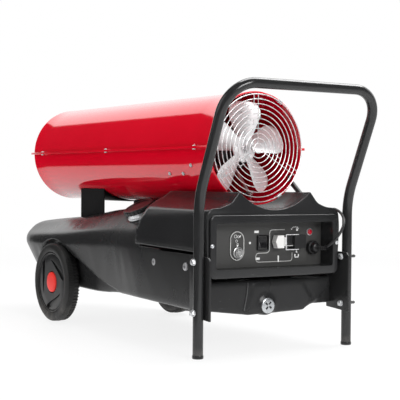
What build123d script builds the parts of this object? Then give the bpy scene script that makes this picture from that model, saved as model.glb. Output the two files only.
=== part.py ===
"""Direct oil-fired forced air heater on a wheeled fuel tank, in millimetres.

+Y is the way the air flows, from the fan to the hot outlet. +X is on the right of someone who
faces the control panel. +Z is up. The origin is on the floor, below the middle of the heater.
"""
from build123d import *
import os
from math import cos, pi, radians, sin, sqrt, tan

os.makedirs("parts", exist_ok=True)

SIDES = (-1, 1)                 # left and right of the heater

# ---------------------------------------------------------------- driving dimensions
leg_y = -495.0                  # plane of the two legs; places along the heater count from it

tube_d = 25.0                   # bent tube of the frame
tube_wall = 2.0
leg_x = 224.0                   # middle of each leg
bend_z = 370.0                  # where the legs start to lean back
bar_z = 635.0                   # middle of the grip bar
bar_back = 116.0                # how far the grip bar lies behind the legs
bend_r = 200.0
corner_r = 77.0
foot_base = 4.0                 # plastic under the tube's end
foot_wall = 1.6
foot_h = 13.0
slip = 0.15                     # clearance of parts pushed together by hand

bolt_d = 8.0
bolt_clear = 0.3                # radial clearance of bolt holes
bolt_zs = (106.6, 224.5)        # the two bolts of each leg
bolt_tip = 14.0                 # thread that stands out past the nutted side
head_h = 5.3
head_af = 13.0
washer_r = 8.0
washer_t = 1.6

wall = 4.0                      # moulded wall of the tank
cheek_t = 5.0                   # side flanges that the legs are bolted to
cheek_x = leg_x - tube_d / 2    # outer face of each flange, against the leg
cheek_back = 27.0               # how far the flanges reach behind the legs
cheek_low = 87.0
cheek_ahead = 215.0
cheek_corner_r = 9.0
end_ahead = 45.0                # end wall with the drain
ledge_z = 173.0                 # step of the tank under the control panel
ledge_ahead = 200.0             # the electrical bay ends here
deck_z = 236.0                  # tank below the hood, at the legs
deck_rise = 11.0                # and how much higher it is at the hood's front
hood_ahead = 311.0              # step in the tank where the hood ends
sump_low = 86.0                 # lowest part of the tank, at the drain
sump_left = -66.0
sump_right = 118.0
sump_ahead = 240.0
sump_out = 9.0                  # the sump stands out of the end wall

wheel_r = 114.0
wheel_w = 44.0
wheel_out = 225.0               # outer face of each wheel
axle_ahead = 794.0
axle_d = 20.0
arch_gap = 17.0                 # tyre to wheel arch
arch_x = 172.0                  # tank between the wheels
arch_slope = 32.0               # degrees, where the arch runs out behind the wheel
arch_tail = ((614, 160), (500, 126), (430, 90))     # its edge from there: ahead of the legs, height
rim_r = 80.0                    # plastic disc inside the tyre
hub_r = 28.5                    # hub cap
lug_count = 30
lug_deep = 6.0
run_gap = 0.06                  # radial running clearance on shafts

drum_r = 141.0
drum_wall = 1.5
drum_z = 495.0
inlet_ahead = 83.0
drum_len = 1007.0
seam_lip = 10.0                 # seam flange
seam_screws_ahead = (143.0, 601.0, 1016.0)

saddle_gap = 10.0               # hood and panel to the drum
saddle_half = 107.0             # half width of the saddle, peak to middle
hood_t = 3.0
hood_low = (243.0, 252.0)       # lower edge of the hood at the panel and at its front

panel_ahead = 3.0               # panel's flat face
panel_t = 3.0
panel_deep = 14.0               # its rim reaches back to here
panel_low = 182.0
panel_half = 202.0
frame_half = 194.0              # raised frame round the recess
frame_top = 332.0
frame_out = 6.0
frame_corner_r = 15.0
recess_half = 176.0
recess_low = 203.0
recess_top = 313.0
plate_ahead = 45.0              # control plate at the bottom of the recess
plate_t = 1.5
plate_lap = 3.0                 # plate behind the recess walls
screw_x = 188.0
screw_z = 260.0

rocker_at = (-8.0, 262.0)
reset_at = (-83.0, 239.0)
lamp_at = (138.0, 286.0)
gland_at = (145.0, 247.0)
plug_at = (32.0, 266.0)
socket_at = (84.0, 264.0)

bracket_ahead = (710.0, 857.0)  # drum bracket on the tank
bracket_half = 93.0
bracket_t = 3.0
seat_z = 297.0                  # flat seat of the bracket in the tank's crown

filler_at = (-146.0, 404.0, 330.0)   # middle of the filler cap's underside, ahead of the legs
filler_tilt = 27.0              # degrees, away from the drum
neck_r = 28.0                   # inside of the filler neck
neck_t = 2.0
neck_lip = 6.0                  # flange of the neck, past its bore
neck_flange = 12.0              # the flange's seat, under the cap's ceiling
neck_deep = 44.0
strainer_deep = 60.0
seal_t = 1.5
pocket_r = 50.0                 # dished flat of the tank
cap_r = 43.0
cap_h = 13.0
cap_skirt = 6.0
cap_grips = 24

drain_z = 108.5
drain_r = 12.0
drain_boss_r = 24.0
seat_gap = 0.3                  # curved faces that carry each other

axle_end = 213.0                # end of the axle, from the middle
strap_x = 120.0                 # steel straps that hold the axle under the tank
strap_w = 26.0
strap_reach = 32.0
strap_t = 2.0
cap_out = 14.0                  # how far the hub caps stand out of the discs
clip_t = 2.0
clip_r = 16.0

motor_r = 55.0
motor_ahead = (165.0, 285.0)
shaft_d = 12.0
fan_ahead = 138.0               # middle of the fan
fan_hub_r = 35.0
blade_t = 2.0
blade_count = 5
blade_pitch = 30.0
blade_half = 43.0
blade_tip_r = 118.0
band_ahead = (200.0, 250.0)     # motor's holding band
arm_r = 4.0
arm_angles = (180.0, 235.0, 305.0, 40.0)
pump_half = 30.0
pump_len = 60.0
pump_bore = 30.0
chamber_ahead = (480.0, 1050.0)
chamber_r = 105.0
chamber_t = 2.0
head_ahead = 430.0
head_r = 72.0
cup_r = 45.0
stay_ahead = (540.0, 960.0)     # stays of the combustion chamber
baffle_ahead = 985.0
baffle_r = 70.0
nozzle_r = 8.0

grille_out = 6.0                # grille wires stand this far before the drum's edge
wire_d = 3.0
ring_count = 11
ring_sides = 24
spoke_angles = (90.0, 210.0, 330.0)
spoke_in = 10.5
spoke_pitch = -13.0             # short wire beside each long one
clip_angles = (60.0, 180.0, 300.0)
clip_in = 131.0
clip_deep = 18.0
blade_turn = -15.0
ring_pitch = 12.2
grille_r = 136.0

conduit_at = (118.0, 100.0, drum_z - 80)      # where the wires' conduit enters the drum
conduit_r = 6.5

rear_ahead = (215.0, 290.0)     # drum support on the tank deck
rear_half = 60.0
rear_t = 3.0
slot_gap = 6.0                  # hood slot round that support

conduit_low = (122.0, 62.0, drum_z - 113)      # and where it leaves the hood
line_r = 3.5
crown_z = 347.0                 # tank's crown under the pump
rocker_size = (35.0, 38.0)
rocker_body = (27.0, 32.0)
rocker_out = 5.0
rocker_deep = 20.0
rocker_tip = 8.0                # degrees each way
button_r = 6.5
lamp_r = 9.0
gland_r = 18.0
screw_d = 4.0

cord_from = (145.0, 18.0, 247.0)
cord_d = 7.0
cord_clear = 0.6                # between turns of the coil
coil_at = (300.0, 850.0)        # middle of the coil on the floor, ahead of the legs
coil_mid_r = 38.4
coil_turns = 4.5
coil_dip = 1.6                  # the turn that climbs lies this much further in
tie_w = 6.0
tie_t = 0.8
sleeve_len = 28.0
plug_r = 19.5
plug_h = 24.0

# ---------------------------------------------------------------- places that follow
bar_y = leg_y - bar_back
end_y = leg_y + end_ahead
axle_y = leg_y + axle_ahead
wheel_x = wheel_out - wheel_w / 2
arch_r = wheel_r + arch_gap
inlet_y = leg_y + inlet_ahead
outlet_y = inlet_y + drum_len
hood_y = leg_y + hood_ahead
saddle_r = drum_r + saddle_gap
peak_z = drum_z - sqrt(saddle_r**2 - saddle_half**2)
panel_y = leg_y + panel_ahead
rim_y = leg_y + panel_deep
plate_y = leg_y + plate_ahead
seat_half = bracket_half + bracket_t + 1
seat_y0 = leg_y + bracket_ahead[0] - 1
seat_y1 = leg_y + bracket_ahead[1] + 1
groove_half = axle_d / 2 + 1
filler = Plane(
    (filler_at[0], leg_y + filler_at[1], filler_at[2]),
    x_dir=(0, 1, 0),
    z_dir=(-sin(radians(filler_tilt)), 0, cos(radians(filler_tilt))),
)
drain_y = end_y - sump_out      # face of the sump round the drain


def save(piece, name):
    """Label a finished piece and write it."""
    piece.part.label = name
    export_step(piece.part, f"parts/{name}.step")


def across(y):
    """Sketch plane across the heater, local axes X and Z, facing the operator."""
    return Plane.XZ.offset(-y)


def rod_x(radius, x0, x1, y, z, mode=Mode.ADD):
    """Round bar along X in the current part."""
    with Locations(((x0 + x1) / 2, y, z)):
        Cylinder(radius, abs(x1 - x0), rotation=(0, 90, 0), mode=mode)


def rod_y(radius, y0, y1, x, z, mode=Mode.ADD):
    """Round bar along Y in the current part."""
    with Locations((x, (y0 + y1) / 2, z)):
        Cylinder(radius, y1 - y0, rotation=(90, 0, 0), mode=mode)


def block(x0, x1, y0, y1, z0, z1, mode=Mode.ADD):
    """Box between two corners in the current part."""
    with Locations(((x0 + x1) / 2, (y0 + y1) / 2, (z0 + z1) / 2)):
        Box(abs(x1 - x0), abs(y1 - y0), abs(z1 - z0), mode=mode)


# ---------------------------------------------------------------- bent tube frame
def stepped(route, turn=22.5):
    """A route whose arcs are stepped in short straight runs of equal turn, in degrees."""
    points = []
    for edge in route.order_edges():
        angle = edge.tangent_at(0).get_angle(edge.tangent_at(1))
        steps = max(1, round(angle / turn))
        points += [edge @ (i / steps) for i in range(steps)]
    return Polyline(*points, route @ 1)


with BuildPart() as handle_frame:
    with BuildLine() as frame_path:
        bent = FilletPolyline(
            (-leg_x, leg_y, foot_base),
            (-leg_x, leg_y, bend_z),
            (-leg_x, bar_y, bar_z),
            (leg_x, bar_y, bar_z),
            (leg_x, leg_y, bend_z),
            (leg_x, leg_y, foot_base),
            radius=[bend_r, corner_r, corner_r, bend_r],
            mode=Mode.PRIVATE,
        )
        stepped(bent)
    with BuildSketch(Plane((-leg_x, leg_y, foot_base), z_dir=(0, 0, 1))):
        Circle(tube_d / 2)
        RegularPolygon(tube_d / 2 - tube_wall, 12, mode=Mode.SUBTRACT)
    sweep(path=frame_path.line, transition=Transition.RIGHT)
    for side in SIDES:
        for z in bolt_zs:
            rod_x(bolt_d / 2 + bolt_clear, side * leg_x - tube_d, side * leg_x + tube_d, leg_y, z,
                  Mode.SUBTRACT)
save(handle_frame, "handle_frame")

# cups on the feet, pushed over the tube's ends
with BuildPart() as foot_caps:
    for side in SIDES:
        with Locations((side * leg_x, leg_y, 0)):
            Cylinder(tube_d / 2 + slip + foot_wall, foot_h, align=(Align.CENTER, Align.CENTER, Align.MIN))
        with Locations((side * leg_x, leg_y, foot_base)):
            Cylinder(tube_d / 2 + slip, foot_h, align=(Align.CENTER, Align.CENTER, Align.MIN),
                     mode=Mode.SUBTRACT)
    chamfer(foot_caps.edges().filter_by(GeomType.CIRCLE).group_by(Axis.Z)[0], 1.2)
save(foot_caps, "foot_caps")

# ---------------------------------------------------------------- fuel tank
# Sections of the moulded body: place ahead of the legs, then the flat top's half width and height,
# the widest point and the bottom corner.
tank_stations = (
    (45, 150, 350, 211, 262, 206, 104),
    (310, 146, 347, 212, 264, 204, 110),
    (450, 137, 340, 204, 264, 192, 110),
    (600, 128, 329, 203, 258, 182, 101),
    (750, 119, 311, 211, 249, 180, 104),
    (840, 114, 303, 214, 245, 179, 104),
    (960, 108, 293, 212, 239, 166, 116),
    (1020, 100, 287, 198, 236, 148, 130),
    (1062, 94, 283, 178, 233, 126, 148),
    (1092, 82, 275, 150, 231, 98, 170),
    (1110, 56, 264, 112, 230, 68, 192),
    (1118, 26, 252, 68, 229, 40, 207),
)
inner_stations = [station for i, station in enumerate(tank_stations) if i not in (1, 5, 7, 9)]
nose_y = leg_y + tank_stations[-1][0]


def tank_form(inset):
    """The tank's outside, or with an inset its inside."""
    with BuildPart() as form:
        for ahead, top_x, top_z, side_x, side_z, low_x, low_z in inner_stations if inset else tank_stations:
            half = ((top_x - inset / 2, top_z - inset), (side_x - inset, side_z),
                    (low_x - inset, low_z + inset))
            corners = [*half, *((-x, z) for x, z in reversed(half))]
            soft = min(1.0, top_x / 100)
            rounds = [46 * soft, 50 * soft, 14 * soft]
            with BuildSketch(across(leg_y + ahead)):
                with BuildLine():
                    outline = FilletPolyline(*corners, radius=[*rounds, *reversed(rounds)], close=True,
                                             mode=Mode.PRIVATE)
                    facets = []
                    for edge in outline.order_edges():
                        steps = 2 if edge.geom_type == GeomType.CIRCLE and not inset else 1
                        facets += [edge @ (i / steps) for i in range(steps)]
                    Polyline(*facets, close=True)
                make_face()
        loft(ruled=True)
        # wheel arches, with an edge that runs down behind each wheel
        leave = radians(90 + arch_slope)
        tail = [(leg_y + ahead, z) for ahead, z in arch_tail]
        for side in SIDES:
            with BuildSketch(Plane.YZ.offset(side * (arch_x - inset))) as arch:
                with BuildLine():
                    over = CenterArc((axle_y, wheel_r), arch_r, 0, 90 + arch_slope)
                    Polyline(over @ 1, *tail, (tail[-1][0], 20), (axle_y + arch_r, 20), over @ 0)
                make_face()
                if inset:
                    offset(amount=inset)
            extrude(amount=side * 100, mode=Mode.SUBTRACT)
        # bay for the electrical parts under the hood, and the step where the hood ends
        block(-cheek_x + cheek_t - inset, cheek_x - cheek_t + inset, leg_y - 100,
              leg_y + ledge_ahead + inset, ledge_z - inset, 500, Mode.SUBTRACT)
        with BuildSketch(Plane.YZ):
            with BuildLine():
                Polyline((leg_y - 60, deck_z - inset), (hood_y + inset, deck_z + deck_rise - inset),
                         (hood_y + inset, 500), (leg_y - 60, 500), close=True)
            make_face()
        extrude(amount=300, both=True, mode=Mode.SUBTRACT)
        # flat seat of the drum bracket in the crown
        block(-seat_half - inset, seat_half + inset, seat_y0 - inset, seat_y1 + inset,
              seat_z - inset, 500, Mode.SUBTRACT)
        # dished flat round the filler
        with BuildSketch(filler.offset(-neck_flange - inset)):
            Circle(pocket_r + inset)
        extrude(amount=120, mode=Mode.SUBTRACT)
        if inset:
            block(-300, 300, nose_y - inset, nose_y + 20, 0, 500, Mode.SUBTRACT)
            block(-300, 300, end_y - 20, end_y + inset, 0, 500, Mode.SUBTRACT)
        # groove of the axle across the belly
        block(-300, 300, axle_y - groove_half - inset, axle_y + groove_half + inset, 0,
              wheel_r + groove_half + inset, Mode.SUBTRACT)
    return form


def sump_form(inset):
    """The lowest part of the tank, round the drain, or with an inset its inside."""
    with BuildPart() as form:
        with BuildSketch(across(drain_y + inset)):
            with BuildLine():
                Polyline((sump_left + 8, sump_low), (sump_right, sump_low + 4), (sump_right + 26, 118),
                         (sump_right - 6, 160), (sump_left + 26, 160), (sump_left, 98), close=True)
            make_face()
            if inset:
                offset(amount=-inset)
        extrude(amount=-(sump_ahead - end_ahead + sump_out - 2 * inset))
    return form


with BuildPart() as fuel_tank:
    add(tank_form(0).part)
    add(sump_form(0).part)
    # side flanges for the legs
    for side in SIDES:
        with BuildSketch(Plane.YZ.offset(side * (cheek_x - cheek_t))):
            with BuildLine():
                Polyline((leg_y - cheek_back, cheek_low), (leg_y + 90, cheek_low + 10),
                         (leg_y + cheek_ahead, cheek_low + 28), (leg_y + cheek_ahead, deck_z),
                         (leg_y - cheek_back + cheek_corner_r, deck_z),
                         (leg_y - cheek_back, deck_z - cheek_corner_r), close=True)
            make_face()
        extrude(amount=side * cheek_t)
    add(tank_form(wall).part, mode=Mode.SUBTRACT)
    add(sump_form(wall).part, mode=Mode.SUBTRACT)
    # bosses and bores of the drain and the filler
    with BuildSketch(across(drain_y + wall)):
        with Locations((0, drain_z)):
            Circle(drain_boss_r)
    extrude(amount=wall + 3)
    rod_y(drain_r, drain_y - 10, drain_y + 20, 0, drain_z, Mode.SUBTRACT)
    with BuildSketch(filler.offset(-neck_flange - wall - 14)):
        Circle(neck_r + 10)
    extrude(amount=wall + 13)
    with BuildSketch(filler.offset(-neck_flange - 60)):
        Circle(neck_r + neck_t + slip)
    extrude(amount=90, mode=Mode.SUBTRACT)
    for side in SIDES:
        for z in bolt_zs:
            rod_x(bolt_d / 2 + bolt_clear, side * leg_x - tube_d, side * leg_x + tube_d, leg_y, z,
                  Mode.SUBTRACT)
save(fuel_tank, "fuel_tank")

# drain plug, screwed into the sump, and the two flat seals of the tank
with BuildPart() as drain_plug:
    rod_y(drain_r - 0.2, drain_y - 5, drain_y + 14, 0, drain_z)
    with BuildSketch(across(drain_y - 10)):
        with Locations((0, drain_z)):
            RegularPolygon(19, 16)
    extrude(amount=-5)
    with BuildSketch(across(drain_y - 10)):
        with Locations((0, drain_z)):
            RegularPolygon(12, 6)
            Rectangle(13, 5, mode=Mode.SUBTRACT)
            Rectangle(5, 13, mode=Mode.SUBTRACT)
    extrude(amount=4)
save(drain_plug, "drain_plug")

with BuildPart() as tank_seals:
    with BuildSketch(across(drain_y - 3)):
        with Locations((0, drain_z)):
            Circle(drain_r + 6)
            Circle(drain_r + 0.5, mode=Mode.SUBTRACT)
    extrude(amount=2)
    with BuildSketch(filler.offset(-neck_flange)):
        Circle(neck_r + neck_lip)
        Circle(neck_r + neck_t + slip, mode=Mode.SUBTRACT)
    extrude(amount=seal_t)
save(tank_seals, "tank_seals")

# ---------------------------------------------------------------- filler
with BuildPart() as filler_neck:
    with BuildSketch(filler.offset(-neck_deep)):
        RegularPolygon(neck_r + neck_t, 28)
        RegularPolygon(neck_r, 28, mode=Mode.SUBTRACT)
    extrude(amount=neck_deep)
    with BuildSketch(filler.offset(seal_t - neck_flange)):
        RegularPolygon(neck_r + neck_lip, 28)
        RegularPolygon(neck_r, 28, mode=Mode.SUBTRACT)
    extrude(amount=3)
save(filler_neck, "filler_neck")

with BuildPart() as fuel_strainer:
    with BuildSketch(filler):
        RegularPolygon(neck_r + neck_t, 28)
        RegularPolygon(neck_r - 4, 28, mode=Mode.SUBTRACT)
    extrude(amount=1)
    with BuildSketch(filler.offset(-strainer_deep)):
        RegularPolygon(neck_r - 1, 16)
        RegularPolygon(neck_r - 3, 16, mode=Mode.SUBTRACT)
    extrude(amount=strainer_deep)
    with BuildSketch(filler.offset(-strainer_deep)):
        RegularPolygon(neck_r - 1, 16)
    extrude(amount=-1.5)
save(fuel_strainer, "fuel_strainer")

with BuildPart() as filler_cap:
    with BuildSketch(filler.offset(-cap_skirt)):
        RegularPolygon(cap_r, cap_grips)
    extrude(amount=cap_skirt + cap_h)
    with BuildSketch(filler.offset(cap_h)):
        RegularPolygon(cap_r - 6, cap_grips)
        RegularPolygon(cap_r - 11, cap_grips, mode=Mode.SUBTRACT)
    extrude(amount=-2, mode=Mode.SUBTRACT)
    with BuildSketch(filler.offset(-cap_skirt)):
        Circle(neck_r + neck_lip + 2)
    extrude(amount=cap_skirt + 1.2, mode=Mode.SUBTRACT)
save(filler_cap, "filler_cap")

# ---------------------------------------------------------------- leg bolts, side screws
with BuildPart() as leg_bolts:
    for side in SIDES:
        # every bolt points to +X: through tube and flange on the left, flange and tube on the right
        face = -leg_x - tube_d / 2 if side < 0 else cheek_x - cheek_t
        grip_len = tube_d + cheek_t
        for z in bolt_zs:
            with BuildSketch(Plane.YZ.offset(face)):
                with Locations((leg_y, z)):
                    RegularPolygon(washer_r, 16)
            extrude(amount=-washer_t)
            rod_x(bolt_d / 2, face - washer_t, face + grip_len + bolt_tip, leg_y, z)
            with BuildSketch(Plane.YZ.offset(face - washer_t)):
                with Locations((leg_y, z)):
                    RegularPolygon(head_af / 2 / cos(pi / 6), 6)
            extrude(amount=-head_h)
save(leg_bolts, "leg_bolts")

side_screws_at = ((225.0, 210.0, 209.9), (75.0, 208.0, cheek_x))      # ahead, Z, and their seat along X
with BuildPart() as tank_screws:
    for side in SIDES:
        for ahead, z, seat_x in side_screws_at:
            with BuildSketch(Plane.YZ.offset(side * seat_x)):
                with Locations((leg_y + ahead, z)):
                    RegularPolygon(6.5, 12)
            extrude(amount=side * 3)
save(tank_screws, "tank_side_screws")

# ---------------------------------------------------------------- wheels and axle
with BuildPart() as axle:
    rod_x(axle_d / 2, -axle_end, axle_end, axle_y, wheel_r)
save(axle, "axle")

with BuildPart() as axle_straps:
    for side in SIDES:
        block(side * strap_x - strap_w / 2, side * strap_x + strap_w / 2, axle_y - strap_reach,
              axle_y + strap_reach, wheel_r - axle_d / 2 - strap_t, wheel_r - axle_d / 2)
        for y in (axle_y - strap_reach + 9, axle_y + strap_reach - 9):
            with Locations((side * strap_x, y, wheel_r - axle_d / 2 - strap_t - 3)):
                Cylinder(4.5, 3.2, align=(Align.CENTER, Align.CENTER, Align.MIN))
save(axle_straps, "axle_straps")


def turned(profile, y, z):
    """Solid of revolution about an axle along X, from (radius, place along X) corners."""
    with BuildPart() as round_part:
        with BuildSketch(Plane((0, y, z), x_dir=(0, 0, 1), z_dir=(0, 1, 0))):
            with BuildLine():
                Polyline(*profile, close=True)
            make_face()
        revolve(axis=Axis((0, y, z), (1, 0, 0)))
    return round_part.part


bore_r = axle_d / 2 + run_gap
for side, name in ((-1, "left"), (1, "right")):
    # moulded disc: hub, sunken web and rim
    with BuildPart() as wheel:
        profile = ((bore_r, -21), (24, -21), (24, -16), (rim_r, -16), (rim_r, 16), (rim_r - 11, 16),
                   (rim_r - 11, 7), (bore_r, 7))
        add(turned([(r, side * (wheel_x + x)) for r, x in profile], axle_y, wheel_r))
    save(wheel, f"wheel_{name}")

    # solid tyre with two rows of lugs, half a pitch apart
    with BuildPart() as tyre:
        pitch = 360 / lug_count
        for row in (0, 1):
            start = side * (wheel_x - wheel_w / 2 + row * wheel_w / 2)
            with BuildSketch(Plane((start, axle_y, wheel_r), x_dir=(0, 0, -1), z_dir=(side, 0, 0))):
                with BuildLine():
                    lugs = []
                    for i in range(lug_count):
                        mid = (i + row / 2) * pitch
                        lugs += [Vector(wheel_r / cos(radians(pitch / 4)), 0).rotate(Axis.Z, mid + turn)
                                 for turn in (-pitch / 4, pitch / 4)]
                        lugs.append(Vector(wheel_r - lug_deep, 0).rotate(Axis.Z, mid + pitch / 2))
                    Polyline(*lugs, close=True)
                make_face()
                Circle(rim_r + slip, mode=Mode.SUBTRACT)
            extrude(amount=wheel_w / 2)
    save(tyre, f"tyre_{name}")

    # hub cap pressed on the hub, over the axle's clip
    cap_seat = Plane((side * (wheel_x + 7), axle_y, wheel_r), x_dir=(0, 1, 0), z_dir=(side, 0, 0))
    with BuildPart() as hub_cap:
        with BuildSketch(cap_seat):
            RegularPolygon(hub_r, 32)
        extrude(amount=cap_out)
        chamfer(hub_cap.edges().group_by(Axis.X)[-1 if side > 0 else 0], 5)
        with BuildSketch(cap_seat):
            RegularPolygon(hub_r - 4, 32)
        extrude(amount=cap_out - 3, mode=Mode.SUBTRACT)
    save(hub_cap, f"hub_cap_{name}")

with BuildPart() as axle_clips:
    for side in SIDES:
        with BuildSketch(Plane((side * (wheel_x + 7.5), axle_y, wheel_r), x_dir=(0, 1, 0),
                               z_dir=(side, 0, 0))):
            RegularPolygon(clip_r, 16)
            RegularPolygon(axle_d / 2, 16, major_radius=False, mode=Mode.SUBTRACT)
        extrude(amount=clip_t)
save(axle_clips, "axle_clips")

# ---------------------------------------------------------------- drum shells
lip = drum_r + seam_lip
for name, up in (("drum_upper", 1), ("drum_lower", -1)):
    with BuildPart() as shell:
        with BuildSketch(across(inlet_y)):
            with BuildLine():
                outer = CenterArc((0, drum_z), drum_r, 0, up * 180)
                inner = CenterArc((0, drum_z), drum_r - drum_wall, 0, up * 180)
                Line(outer @ 0, inner @ 0)
                Line(outer @ 1, inner @ 1)
            make_face()
        extrude(amount=-drum_len)
        for side in SIDES:
            block(side * (drum_r - drum_wall), side * lip, inlet_y, outlet_y,
                  min(0, up * drum_wall) + drum_z, max(0, up * drum_wall) + drum_z)
        if up < 0:
            # windows for the fuel lines and for the wires from the hood
            block(-30, 30, leg_y + 296, leg_y + 340, 300, drum_z - 100, Mode.SUBTRACT)
            with Locations((conduit_at[0], leg_y + conduit_at[1], conduit_at[2])):
                Cylinder(conduit_r + 6, 60, mode=Mode.SUBTRACT)
    save(shell, name)

with BuildPart() as drum_screws:
    places = [(side * (drum_r + 5.5), leg_y + ahead) for side in SIDES for ahead in seam_screws_ahead]
    for z, deep in ((drum_z + drum_wall, 3), (drum_z - drum_wall, -3)):
        with BuildSketch(Plane.XY.offset(z)):
            with Locations(*places):
                RegularPolygon(4, 6)
        extrude(amount=deep)
    # screws through the drum's side, ahead of the legs and degrees below the seam
    for ahead, below in ((289, 27), (224, 27), (176, 18)):
        for angle in (180 + below, 360 - below):
            radial = Location((0, leg_y + ahead, drum_z)) * Rotation(0, -angle, 0) * Rotation(0, 90, 0)
            with BuildSketch(Plane(radial).offset(drum_r)):
                RegularPolygon(4, 6)
            extrude(amount=3)
save(drum_screws, "drum_screws")

# ---------------------------------------------------------------- inlet grille
grille_y = inlet_y - grille_out
with BuildPart() as inlet_grille:
    # wire rings in front, long and short radial wires welded behind them
    for i in range(ring_count):
        radius = grille_r - i * ring_pitch
        with BuildSketch(across(grille_y)):
            with Locations((0, drum_z)):
                RegularPolygon(radius, ring_sides)
                RegularPolygon(radius - wire_d, ring_sides, mode=Mode.SUBTRACT)
        extrude(amount=wire_d)
    with BuildSketch(across(grille_y)):
        with Locations((0, drum_z)):
            for angle in spoke_angles:
                for inner, shift in ((spoke_in, 0.0), (grille_r - 3.4 * ring_pitch, spoke_pitch)):
                    with Locations(Rotation(0, 0, angle)):
                        with Locations(((grille_r - 1 + inner) / 2, shift)):
                            Rectangle(grille_r - 1 - inner, wire_d)
    extrude(amount=-wire_d)
save(inlet_grille, "inlet_grille")

# clips that hold the grille to the drum's edge
with BuildPart() as grille_clips:
    for angle in clip_angles:
        place = Plane(Location((0, grille_y, drum_z)) * Rotation(0, -angle, 0) * Rotation(0, 90, 0))
        outer = drum_r - drum_wall - seat_gap
        for inner, y0, y1 in ((clip_in, 0, clip_t), (outer - clip_t, clip_t, clip_deep)):
            with BuildSketch(place.offset(inner)):
                with Locations((0, (y0 + y1) / 2)):
                    Rectangle(12, y1 - y0)
            extrude(amount=outer - inner)
save(grille_clips, "grille_clips")

# ---------------------------------------------------------------- fan and motor
fan_y = leg_y + fan_ahead
with BuildPart() as fan:
    # paddle blades, each a flat sheet at the blade's pitch
    for i in range(blade_count):
        turn = i * 360 / blade_count + blade_turn
        hub = Location((0, fan_y, drum_z)) * Rotation(0, turn, 0)
        paddle = Plane(hub * Rotation(90 - blade_pitch, 0, 0))
        with BuildSketch(paddle.offset(-blade_t / 2)):
            with BuildLine():
                root_r = fan_hub_r - 12
                wide_r = blade_tip_r * 0.8
                FilletPolyline((root_r, -17), (wide_r, -blade_half), (blade_tip_r, -blade_half * 0.8),
                               (blade_tip_r, blade_half * 0.8), (wide_r, blade_half), (root_r, 17),
                               radius=8, close=True)
            make_face()
        extrude(amount=blade_t)
    rod_y(fan_hub_r, fan_y - 3, fan_y + 3, 0, drum_z)
    rod_y(shaft_d / 2 + 7, fan_y, fan_y + 16, 0, drum_z)
    rod_y(shaft_d / 2, fan_y - 60, fan_y + 60, 0, drum_z, Mode.SUBTRACT)
save(fan, "fan")

with BuildPart() as fan_nut:
    with BuildSketch(across(fan_y - 3)):
        with Locations((0, drum_z)):
            RegularPolygon(10, 6)
            Circle(shaft_d / 2, mode=Mode.SUBTRACT)
    extrude(amount=7)
save(fan_nut, "fan_nut")

motor_y0 = leg_y + motor_ahead[0]
motor_y1 = leg_y + motor_ahead[1]
with BuildPart() as motor_shaft:
    rod_y(shaft_d / 2, fan_y - 14, motor_y1 + pump_bore - 4, 0, drum_z)
save(motor_shaft, "motor_shaft")

with BuildPart() as motor:
    with BuildSketch(across(motor_y0)):
        with Locations((0, drum_z)):
            RegularPolygon(motor_r, 32)
    extrude(amount=motor_y0 - motor_y1)
    chamfer(motor.edges().group_by(Axis.Y)[0] + motor.edges().group_by(Axis.Y)[-1], 9)
    rod_y(shaft_d / 2 + run_gap, motor_y0, motor_y1, 0, drum_z, Mode.SUBTRACT)
save(motor, "motor")

# band round the motor, with arms to the drum
with BuildPart() as motor_bracket:
    band_y0 = leg_y + band_ahead[0]
    band_y1 = leg_y + band_ahead[1]
    with BuildSketch(across(band_y0)):
        with Locations((0, drum_z)):
            Circle(motor_r + seat_gap + 3)
            Circle(motor_r + seat_gap, mode=Mode.SUBTRACT)
    extrude(amount=band_y0 - band_y1)
    for angle in arm_angles:
        place = Plane(Location((0, (band_y0 + band_y1) / 2, drum_z)) * Rotation(0, -angle, 0)
                      * Rotation(0, 90, 0))
        with BuildSketch(place.offset(motor_r + 2)):
            RegularPolygon(arm_r, 8)
        extrude(amount=drum_r - drum_wall - seat_gap - motor_r - 2)
        with BuildSketch(place.offset(drum_r - drum_wall - seat_gap - 3)):
            Rectangle(16, 24)
        extrude(amount=2.6)
save(motor_bracket, "motor_bracket")

# gear pump on the motor's rear end
with BuildPart() as fuel_pump:
    with BuildSketch(across(motor_y1)):
        with Locations((0, drum_z)):
            Rectangle(2 * pump_half, 2 * pump_half)
    extrude(amount=-pump_len)
    rod_y(shaft_d / 2 + run_gap, motor_y1, motor_y1 + pump_bore, 0, drum_z, Mode.SUBTRACT)
save(fuel_pump, "fuel_pump")

# ---------------------------------------------------------------- burner and combustion chamber
head_y = leg_y + head_ahead
chamber_y0 = leg_y + chamber_ahead[0]
chamber_y1 = leg_y + chamber_ahead[1]
with BuildPart() as burner_head:
    # flanged sleeve with a swirl plate at its front
    with BuildSketch(across(head_y)):
        with Locations((0, drum_z)):
            Circle(head_r)
            Circle(nozzle_r + slip, mode=Mode.SUBTRACT)
            with PolarLocations(52, 8):
                Rectangle(5, 24, mode=Mode.SUBTRACT)
            with Locations((16, 20), (-16, 20)):
                Circle(5.3, mode=Mode.SUBTRACT)
    extrude(amount=-chamber_t)
    with BuildSketch(across(head_y + chamber_t)):
        with Locations((0, drum_z)):
            Circle(head_r)
            Circle(head_r - chamber_t, mode=Mode.SUBTRACT)
    extrude(amount=-(chamber_y0 - head_y - chamber_t))
save(burner_head, "burner_head")

with BuildPart() as nozzle:
    rod_y(nozzle_r, head_y - 34, head_y + 12, 0, drum_z)
    with BuildSketch(across(head_y + 12)):
        with Locations((0, drum_z)):
            RegularPolygon(nozzle_r - 1, 6)
    extrude(amount=-8)
save(nozzle, "nozzle")

with BuildPart() as electrodes:
    for side in SIDES:
        with BuildSketch(across(head_y - 26)):
            with Locations((side * 16, drum_z + 20)):
                RegularPolygon(5, 6)
        extrude(amount=-56)
save(electrodes, "electrodes")

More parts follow.
